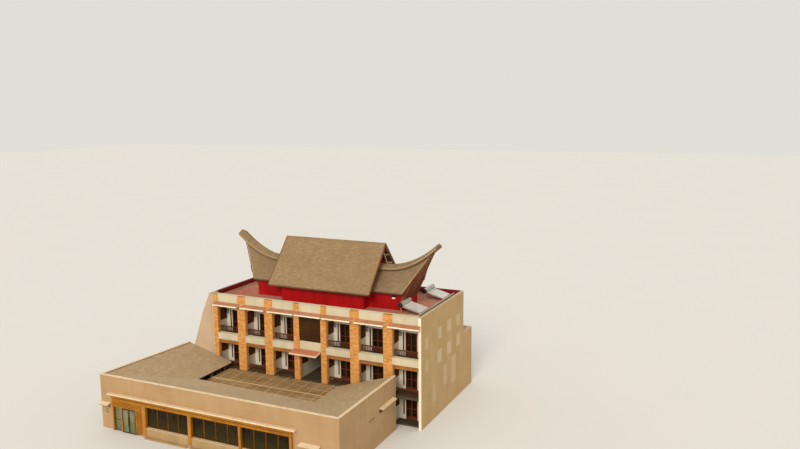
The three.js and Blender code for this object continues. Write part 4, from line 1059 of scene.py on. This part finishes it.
def dressPlanters():
    c = planters
    front, rear = c["frontY"], c["rearY"]
    z0, z1 = c["topZ"] - 0.001, c["topZ"] + c["rim"]
    rims = []
    for i, (left, right) in enumerate(roomBays, 1):
        rims += [
            [left, right, front - 0.02, front + 0.055, z0, z1],
            [left, right, rear - 0.05, rear, z0, z1],
            [left, left + 0.05, front + 0.055, rear - 0.05, z0, z1],
            [right - 0.05, right, front + 0.055, rear - 0.05, z0, z1],
        ]
        addSoilBed(f"planter_soil_{i}", left + 0.051, right - 0.051, front + 0.051,
                   rear - 0.051, 6.411, c["soilZ"] + 0.02)
    addEased("planter_rims", rims, 0.006, "cream")
    for side, x0, y0, y1 in (("front", -23.145, 0.53, 1.14), ("side", -0.865, 1.145, 10.64)):
        addSoilBed(f"terrace_{side}_soil", x0, -0.255, y0, y1, deckZ + 0.001, 10.22, 0.06)

# Stair bay: dark louvres in a frame, and a tiled canopy.
stair = {
    "frontY": 0.11, "lowZ": 6.92, "highZ": 9.55, "pitch": 0.085, "bar": 0.07,
    "canopyLeft": -13.36, "canopyRight": -10.46, "canopyReach": 0.9,
    "courses": 7, "width": 0.24, "gap": 0.01, "thick": 0.022, "lift": 0.002,
}

def dressStair():
    c = stair
    left, right = bays[stairBay]
    middle, bar, y1 = (left + right) / 2, c["bar"], c["frontY"]
    z0, z1 = c["lowZ"] + bar, c["highZ"] - bar
    bars = frameBars(left, right, c["lowZ"], c["highZ"], 0.035, y1, bar)
    addBoxes("stair_screen_frame", bars + [[middle - 0.03, middle + 0.03, 0.04, y1, z0, z1]],
             "screenWood")
    addSolids("stair_screen_slats", [
        tiltedSlats((a, 0.085), (b, 0.085), z0, z1, c["pitch"], 0.05, 0.012, 1.0)
        for a, b in ((left + bar, middle - 0.03), (middle + 0.03, right - bar))
    ], "screenWood")
    tiles = layCourses(
        lambda s, t: np.stack([s, -c["canopyReach"] + c["canopyReach"] * t, 5.898 + 0.162 * t], -1),
        lambda t: c["canopyLeft"], lambda t: c["canopyRight"], c)
    addSolids("stair_canopy_tiles", tiles, "terracotta", toned=True)

# Awnings: a painted top and a bright lip along the front. The parapet has a coping.
awnings = {"overlap": 0.22, "rearZ": 9.78, "frontZ": 9.56, "lowZ": 9.44, "reach": 0.5}

def dressAwnings():
    c = awnings
    reach = c["reach"]
    tops, lips, coping = [], [], []
    for left, right in bays:
        a, b = left - c["overlap"], min(right + c["overlap"], 0.0)
        rear = np.array([[x, 0.0, c["rearZ"] + 0.006] for x in (a, b)])
        front = np.array([[x, -reach, c["frontZ"] + 0.006] for x in (a, b)])
        fall = front[0] - rear[0]
        tops.append(boardCorners(*((rear + front) / 2), np.linalg.norm(fall), 0.014, fall))
        lips.append([a, b, -reach - 0.02, -reach, c["lowZ"] + 0.015, c["frontZ"] + 0.02])
        coping.append([left, right, 0.035, 0.4, seatZ, 10.535])
    coping.append([leftInnerX, -0.25, 0.4, 0.525, seatZ, 10.535])
    addSolids("awning_tops", tops, "awning")
    addEased("awning_lips", lips, 0.008, "lip")
    addEased("parapet_coping", coping, 0.006, "cream")

# Copings laid in lengths: dark red on the left and rear walls, with a band down the inner face,
# and pale on the right wall and the annex. The raking fin has a bright edge.
copings = {
    "length": 1.3, "gap": 0.006, "width": 0.28, "bandFootZ": 10.12,
    "annexRearY": 13.4, "annexZs": (6.129, 6.17),
    "finLine": [
        (-23.4, 10.36), (-24.23, 8.48), (-24.85, 6.71), (-25.47, 4.94), (-27.19, 0.03),
    ],
}

def lengthsAlong(start, stop):
    half = copings["gap"] / 2
    count = max(int(round((stop - start) / copings["length"])), 1)
    return [(a + half, b - half) for a, b in pairwise(np.linspace(start, stop, count + 1))]

def dressCopings():
    c = copings
    width, footZ, rearY, annexZs = (
        c[key] for key in ("width", "bandFootZ", "annexRearY", "annexZs"))
    red, pale = [], [[-23.42, -23.13, 0.0, 1.197, seatZ, 10.53]]
    for a, b in lengthsAlong(1.2, blockDepth):
        red.append([-23.43, -23.12, a, b, seatZ, 10.535])
        red.append([leftInnerX, -23.125, a, b, footZ, seatZ])
    for a, b in lengthsAlong(0.0, blockDepth):
        pale.append([-width, 0.0, a, b, seatZ, 10.54])
    for a, b in lengthsAlong(-23.12, -width):
        red.append([a, b, 10.62, 10.925, seatZ, 10.56])
        red.append([a, b, 10.625, 10.65, footZ, seatZ])
    for a, b in lengthsAlong(annexLeftX, 0.0):
        pale.append([a, b, rearY - width, rearY, *annexZs])
    for a, b in lengthsAlong(blockDepth, rearY - width):
        pale.append([-width, 0.0, a, b, *annexZs])
        pale.append([annexLeftX, annexLeftX + width, a, b, *annexZs])
    addBoxes("red_copings", red, "redCoping")
    addBoxes("outer_wall_copings", pale, "fin")
    addBoxes("corner_panel", [[leftInnerX, pierLefts[0], 0.03, 0.11, 0.0, topZ]], "fin")
    addBoxes("right_wall_end", [[-0.25, 0.0, -0.012, 0.0, 0.0, topZ]], "lip")
    line = np.array([[x, 0.12, z] for x, z in copings["finLine"]])
    addSolids("fin_edge", boardCorners(line[:-1], line[1:], 0.29, 0.05, (0, 1, 0)), "flashing")

# Penthouse: a lamp box on the front wall, by the right end.
lamp = (-4.52, -4.22, 3.52, 3.7, 11.02, 11.18)

def dressPenthouse():
    x0, x1, y0, y1, z0, z1 = lamp
    addSolids("wall_lamp_shade", outward(np.array([[
        [x0, y0, z0], [x1, y0, z0], [x1, y1, z0], [x0, y1, z0],
        [x0 + 0.03, y0 + 0.04, z1], [x1 - 0.03, y0 + 0.04, z1], [x1 - 0.03, y1, z1],
        [x0 + 0.03, y1, z1],
    ]])), "lip")
    addEased("wall_lamp_hood", [[x0 - 0.02, x1 + 0.02, y0 - 0.02, y1, z1, z1 + 0.13]], 0.03,
             "blackCap")

# Terrace: square dusty red tiles over the floor, cut along the penthouse and the curbs.
terraceTiles = {
    "size": 0.3, "joint": 0.008, "thick": 0.015,
    "areas": [
        (leftInnerX, -0.955, 1.23, 2.6), (leftInnerX, -0.955, 8.3, 10.65),
        (leftInnerX, -19.9, 2.6, 8.3), (-3.5, -0.955, 2.6, 8.3),
        (-19.9, -16.31, 2.6, 3.7), (-19.9, -16.31, 7.2, 8.3),
        (-7.09, -3.5, 2.6, 3.7), (-7.09, -3.5, 7.2, 8.3),
    ],
}

def dressTerrace():
    c = terraceTiles
    size, j = c["size"], c["joint"] / 2
    addBoxes("terrace_tiles", [
        [x + j, min(x + size, x1) - j, y + j, min(y + size, y1) - j,
         deckZ - 0.001, deckZ + c["thick"]]
        for x0, x1, y0, y1 in c["areas"]
        for y in np.arange(y0, y1 - 0.02, size) for x in np.arange(x0, x1 - 0.02, size)
    ], "floorTile", toned=True)

# Solar heaters: black end caps, straps round the tank, and a glazed collector with its tubes.
heater = {
    "frontYs": (2.5, 8.25), "tankX": -3.2, "tankZ": 10.8, "radius": 0.24, "length": 2.2,
    "panel": ((-3.04, 10.66), (-1.23, 10.197)), "tubes": 18, "sides": 28,
    "strap": 0.04, "domeSteps": 5,
}

# A ring of points round the tank's axis, and the quads that join two numbered rings.
def tankRing(y, radius):
    angle = np.linspace(0, 2 * np.pi, heater["sides"], endpoint=False)
    return np.stack([heater["tankX"] + radius * np.cos(angle), np.full(len(angle), y),
                     heater["tankZ"] + radius * np.sin(angle)], -1)

def joinRings(a, b):
    sides = heater["sides"]
    k = np.arange(sides)
    n = (k + 1) % sides
    return np.stack([k + a * sides, n + a * sides, n + b * sides, k + b * sides], 1)

# A domed end: rings whose radius falls as a cosine while they bulge out as a sine, closed by a
# fan round the middle.
def domedEnd(y, radius, bulge):
    steps = heater["domeSteps"]
    turns = np.linspace(0, 1, steps + 1)[:-1] * np.pi / 2
    rings = [tankRing(y - bulge * np.sin(turn), radius * np.cos(turn)) for turn in turns]
    middle = [[heater["tankX"], y - bulge, heater["tankZ"]], [heater["tankX"], y, heater["tankZ"]]]
    points = np.concatenate([*rings, middle])
    tip, back = len(points) - 2, len(points) - 1
    last = joinRings(steps - 1, 0)[:, :2]
    faces = [quad for i in range(steps - 1) for quad in joinRings(i, i + 1)]
    faces += [[a, b, tip] for a, b in last] + [[b, a, back] for a, b in joinRings(0, 1)[:, :2]]
    return points, faces

def dressHeaters():
    c = heater
    (px0, pz0), (px1, pz1) = c["panel"]
    for label, y0 in zip(("front", "rear"), c["frontYs"]):
        y1 = y0 + c["length"]
        for end, y, bulge in (("near", y0, 0.06), ("far", y1, -0.06)):
            points, faces = domedEnd(y, c["radius"] + 0.012, bulge)
            addPiece(f"{label}_heater_{end}_cap", points, faces, "blackCap", turned=True,
                     smooth=True)
        inner, outer = c["radius"] - 0.01, c["radius"] + 0.008
        points, faces = [], []
        for i, y in enumerate((y0 + 0.02, y0 + 0.72, y0 + 1.44, y1 - 0.06)):
            far = y + c["strap"]
            points += [tankRing(y, outer), tankRing(far, outer), tankRing(far, inner),
                       tankRing(y, inner)]
            faces += [joinRings(a + 4 * i, b + 4 * i) for a, b in ((0, 1), (1, 2), (2, 3), (3, 0))]
        addPiece(f"{label}_heater_straps", np.concatenate(points), np.concatenate(faces),
                 "ventGrey", turned=True)
        ys = np.linspace(y0 + 0.17, y1 - 0.17, c["tubes"])
        starts, ends = (np.stack([np.full_like(ys, x), ys, np.full_like(ys, z + 0.035)], 1)
                        for x, z in c["panel"])
        addSolids(f"{label}_heater_tubes", boardCorners(starts, ends, 0.07, 0.035, (0, 1, 0)),
                  "collector")
        addSolids(f"{label}_heater_frame", [
            boardCorners((px0, y, pz0 + 0.03), (px1, y, pz1 + 0.03), 0.05, 0.06, (0, 1, 0))
            for y in (y0 + 0.125, y1 - 0.125)
        ], "tank")

# Shopfront: fascia boards, post cladding, mullions, a slatted panel, trough rims and feet.
shopfront = {
    "left": -25.85, "right": -6.55, "frontY": -11.2, "lowZ": 2.85, "highZ": 3.4, "sillZ": 0.95,
    "doorLeft": -24.68, "doorRight": -23.08, "headZ": 2.3, "jamb": 0.15, "panes": 4,
    "posts": [(-22.32, 0.43), (-17.19, 0.37), (-11.85, 0.25), (-6.8, 0.25)],
    "boardPitch": 0.132, "slatPitch": 0.058, "frameRearY": -10.95,
}

def dressFascia():
    c = shopfront
    y, left, lowZ = c["frontY"], c["left"], c["lowZ"]
    firstPost = c["posts"][0][0]
    boards, gaps, cladding, feet = [], [], [], []
    for a, b in pairwise([left, *(x for x, _ in c["posts"]), c["right"]]):
        if b - a < 0.3:
            continue
        boards.append([a + 0.004, b - 0.004, y - 0.045, y, 3.17, c["highZ"] - 0.03])
        boards.append([a + 0.004, b - 0.004, y - 0.018, y, lowZ + 0.01, 3.11])
        gaps.append([a, b, y - 0.006, y, 3.11, 3.17])
    for z in np.arange(c["headZ"] + 0.03, lowZ - 0.1, c["boardPitch"]):
        boards.append([left + 0.01, firstPost - 0.01, y - 0.022, y, z, z + 0.1])
    gaps.append([left + 0.01, firstPost - 0.01, y - 0.006, y, c["headZ"] + 0.02, lowZ - 0.01])
    addEased("fascia_boards", boards, 0.006, "orangeX")
    addBoxes("fascia_shadow_gaps", gaps, "screenWood")
    for x, width in c["posts"]:
        cladding.append([x + 0.02, x + width - 0.02, y - 0.02, y, 0.26, lowZ - 0.01])
        cladding.append([x + 0.07, x + width - 0.07, y - 0.032, y - 0.019, 0.34, lowZ - 0.08])
        feet.append([x - 0.02, x + width + 0.02, y - 0.06, y, 0.0, 0.24])
    for x in (left, c["doorLeft"] - c["jamb"]):
        cladding.append([x + 0.015, x + c["jamb"] - 0.015, y - 0.016, y, 0.02, c["headZ"] - 0.02])
    addBoxes("post_cladding", cladding, "orangeZ")
    addEased("post_feet", feet, 0.012, "plinth")

def dressShopWindows():
    c = shopfront
    y, rear, sillZ, lowZ, jamb = (
        c[key] for key in ("frontY", "frameRearY", "sillZ", "lowZ", "jamb"))
    low, high, inner = sillZ + 0.001, lowZ - 0.001, rear - 0.001
    spans = [(x + width, after) for (x, width), (after, _) in pairwise(c["posts"])]
    mullions, rims = [], []
    for a, b in spans:
        for k in range(1, c["panes"]):
            m = a + (b - a) * k / c["panes"]
            mullions.append([m - 0.03, m + 0.03, frontFaceY - 0.03, inner, low, high])
        mullions.append([a, b, frontFaceY, inner, low, sillZ + 0.06])
        mullions.append([a, b, frontFaceY, inner, lowZ - 0.06, high])
    addBoxes("shop_mullions", mullions, "brownZ")
    addBoxes("slatted_panel", [
        [x, x + 0.032, -11.125, -11.091, 0.06, lowZ - 0.05]
        for x in np.arange(c["doorRight"] + jamb + 0.02, c["posts"][0][0] - 0.03, c["slatPitch"])
    ], "orangeZ")
    x0, x1 = c["left"] + jamb, c["doorLeft"] - jamb
    bars = frameBars(x0, x1, 0.02, c["headZ"], -11.06, -11.021, 0.05)
    addBoxes("sidelight_frame", bars + [[x0 + 0.05, x1 - 0.05, -11.05, -11.021, 1.05, 1.1]],
             "brownZ")
    for i, (a, b) in enumerate(spans, 1):
        rims.append([a, b, y - 0.02, y + 0.085, 0.849, 0.875])
        rims.append([a, b, frontFaceY - 0.035, rear, 0.849, 0.88])
        rims.append([a, b, rear, rear + 0.16, 0.949, 0.975])
        addSoilBed(f"trough_soil_{i}", a + 0.081, b - 0.081, -11.119, -11.031, 0.701, 0.79, 0.02)
    addEased("trough_rims", rims, 0.006, "flashing")
    addEased("ledge_face", [[-26.25, -6.16, -11.37, -11.35, 3.405, 3.53]], 0.008, "flashing")

# Small windows of the front block: hoods with a metal skin, brackets, frames and a lattice.
# A window is its left edge, width, sill, height and the hood's overlap.
hoods = {
    "windows": {"left": (-26.95, 0.55, 1.35, 0.95, 0.23), "right": (-5.5, 1.15, 1.45, 0.8, 0.38)},
    "reach": 0.45, "rise": 0.15, "thick": 0.09, "leftEdge": -27.3,
    "side": {"y0": -4.0, "y1": -1.2, "faceX": -2.25, "reach": 0.42, "wallZ": 3.3, "lipZ": 3.24},
}

def hoodSkin(start, end, fall):
    return boardCorners(start, end, np.linalg.norm(fall), 0.016, fall)

def dressHoods():
    c, s = hoods, hoods["side"]
    skins, brackets = [], []
    for left, width, sill, height, over in c["windows"].values():
        a, b = max(left - over, c["leftEdge"]), left + width + over
        lipZ = sill + height + c["thick"]
        mid = np.array([0.0, frontFaceY - c["reach"] / 2, lipZ + c["rise"] / 2 + 0.008])
        skins.append(hoodSkin(mid + (a, 0, 0), mid + (b, 0, 0),
                              np.array([0.0, -c["reach"], -c["rise"]])))
        for x in (a + 0.12, b - 0.12):
            brackets.append(boardCorners((x, frontFaceY, lipZ - 0.32), (x, -11.33, lipZ - 0.06),
                                         0.04, 0.05, (1, 0, 0)))
    faceX, lipZ = s["faceX"], s["lipZ"]
    mid = np.array([faceX + s["reach"] / 2, 0.0, (s["wallZ"] + lipZ) / 2 + 0.008])
    skins.append(hoodSkin(mid + (0, s["y0"], 0), mid + (0, s["y1"], 0),
                          np.array([s["reach"], 0.0, lipZ - s["wallZ"]])))
    for y in (s["y0"] + 0.12, s["y1"] - 0.12):
        brackets.append(boardCorners((faceX, y, lipZ - 0.42), (faceX + 0.34, y, lipZ - 0.12),
                                     0.05, 0.06, (0, 1, 0)))
    addSolids("hood_skins", skins, "flashing")
    addSolids("hood_brackets", brackets, "brownZ")

def dressSmallWindows():
    front, rear = frontFaceY - 0.02, frontFaceY + 0.06
    left, width, sill, height, _ = hoods["windows"]["left"]
    bar, right, head = 0.05, left + width, sill + height
    lattice = frameBars(left, right, sill, head, front, rear, bar)
    lattice += [[x - 0.012, x + 0.012, -10.99, -10.965, sill + bar, head - bar]
                for x in np.linspace(left + bar, right - bar, 6)[1:-1]]
    lattice += [[left + bar, right - bar, -10.985, -10.96, z - 0.012, z + 0.012]
                for z in np.linspace(sill + bar, head - bar, 9)[1:-1]]
    addBoxes("left_window_lattice", lattice, "paleBatten")
    left, width, sill, height, _ = hoods["windows"]["right"]
    bar, right, head = 0.06, left + width, sill + height
    bars = frameBars(left, right, sill, head, front, rear, bar)
    bars += [[x - 0.01, x + 0.01, -10.99, -10.97, sill + bar, head - bar]
             for x in np.linspace(left + bar, right - bar, 8)[1:-1]]
    addBoxes("right_window_bars", bars, "brownZ")
    addBoxes("side_window_bars", [[-2.4, -2.3, y - 0.012, y + 0.012, 2.86, 3.14]
                                  for y in np.linspace(-3.85, -1.35, 16)], "brownZ")
    addBoxes("side_vent_slot", [[-2.2495, -2.24, -5.93, -4.9, 2.775, 2.835]], "blackCap")

# Front block walls: thin cover strips where the wall panels join, over the shopfront's posts.
wallJoints = {"zs": (3.98, 4.55), "xs": (-22.1, -17.0, -11.72, -6.68), "proud": 0.006,
              "width": 0.022}

def dressWallJoints():
    c = wallJoints
    y0, width = frontFaceY - c["proud"], c["width"]
    strips = [[-27.29, -2.26, y0, frontFaceY, z, z + width] for z in c["zs"]]
    strips += [[x, x + width, y0, frontFaceY, 3.54, 5.08] for x in c["xs"]]
    addBoxes("wall_joint_strips", strips, "side")

# Rear wall: a frame, a centre bar and a sill to each window. The annex covers the lower
# storeys at the right end.
rearWindows = {"width": 1.2, "height": 1.2, "sill": 0.9, "bar": 0.06, "frameYs": (10.7, 10.87)}

def dressRear():
    c = rearWindows
    bar = c["bar"]
    bars, sills = [], []
    for storey, floor in floorZs.items():
        z0, z1 = floor + c["sill"], floor + c["sill"] + c["height"]
        for left, right in bays:
            middle = (left + right) / 2
            if storey != "third" and middle > annexLeftX:
                continue
            x0, x1 = middle - c["width"] / 2, middle + c["width"] / 2
            bars += frameBars(x0, x1, z0, z1, *c["frameYs"], bar)
            bars.append([middle - 0.025, middle + 0.025, 10.72, 10.85, z0 + bar, z1 - bar])
            sills.append([x0 - bar, x1 + bar, 10.88, 10.96, z0 - bar, z0])
    addBoxes("rear_window_frames", bars, "doorWood")
    addEased("rear_window_sills", sills, 0.01, "plinth")

# Floor: a wide pale plane just under the building.
ground = {"colour": (0.74, 0.73, 0.71), "lighter": 1.03, "half": 400.0, "z": -0.004}

def addFloor(c):
    half, z = c["half"], c["z"]
    mesh = bpy.data.meshes.new("studioFloor")
    mesh.from_pydata([(-half, -half, z), (half, -half, z), (half, half, z), (-half, half, z)],
                     [], [(0, 1, 2, 3)])
    mat, tree, shader, vector = startMaterial("studioFloor")
    lighter = tuple(min(v * c["lighter"], 1.0) for v in c["colour"])
    soft = noise(tree, vector, 0.08, 2.0, 0.5)
    feed(tree, shader["Base Color"], mixColour(tree, soft, c["colour"], lighter))
    shader["Roughness"].default_value = 0.9
    mesh.materials.append(mat)
    addObject("studioFloor", mesh)

addCamera(camera)
addLight(light)
addFloor(ground)
print("camera, light and floor made")
finishNodes()
print("frame finished")
dressMainRoof()
for name, end in (("left", -1), ("right", 1)):
    roofHorn(name, end)
    edgeHorn(name, end)
    closeHorn(name, end)
dressWings()
print("roofs dressed")
dressCourt()
dressPiers()
print("court and piers dressed")
dressBalconies()
dressLouvres()
dressRailings()
dressBeams()
dressPlanters()
dressStair()
dressAwnings()
print("front dressed")
dressCopings()
dressPenthouse()
dressTerrace()
dressHeaters()
print("top dressed")
dressFascia()
dressShopWindows()
dressHoods()
dressSmallWindows()
dressWallJoints()
dressRear()
print("front block and rear dressed")
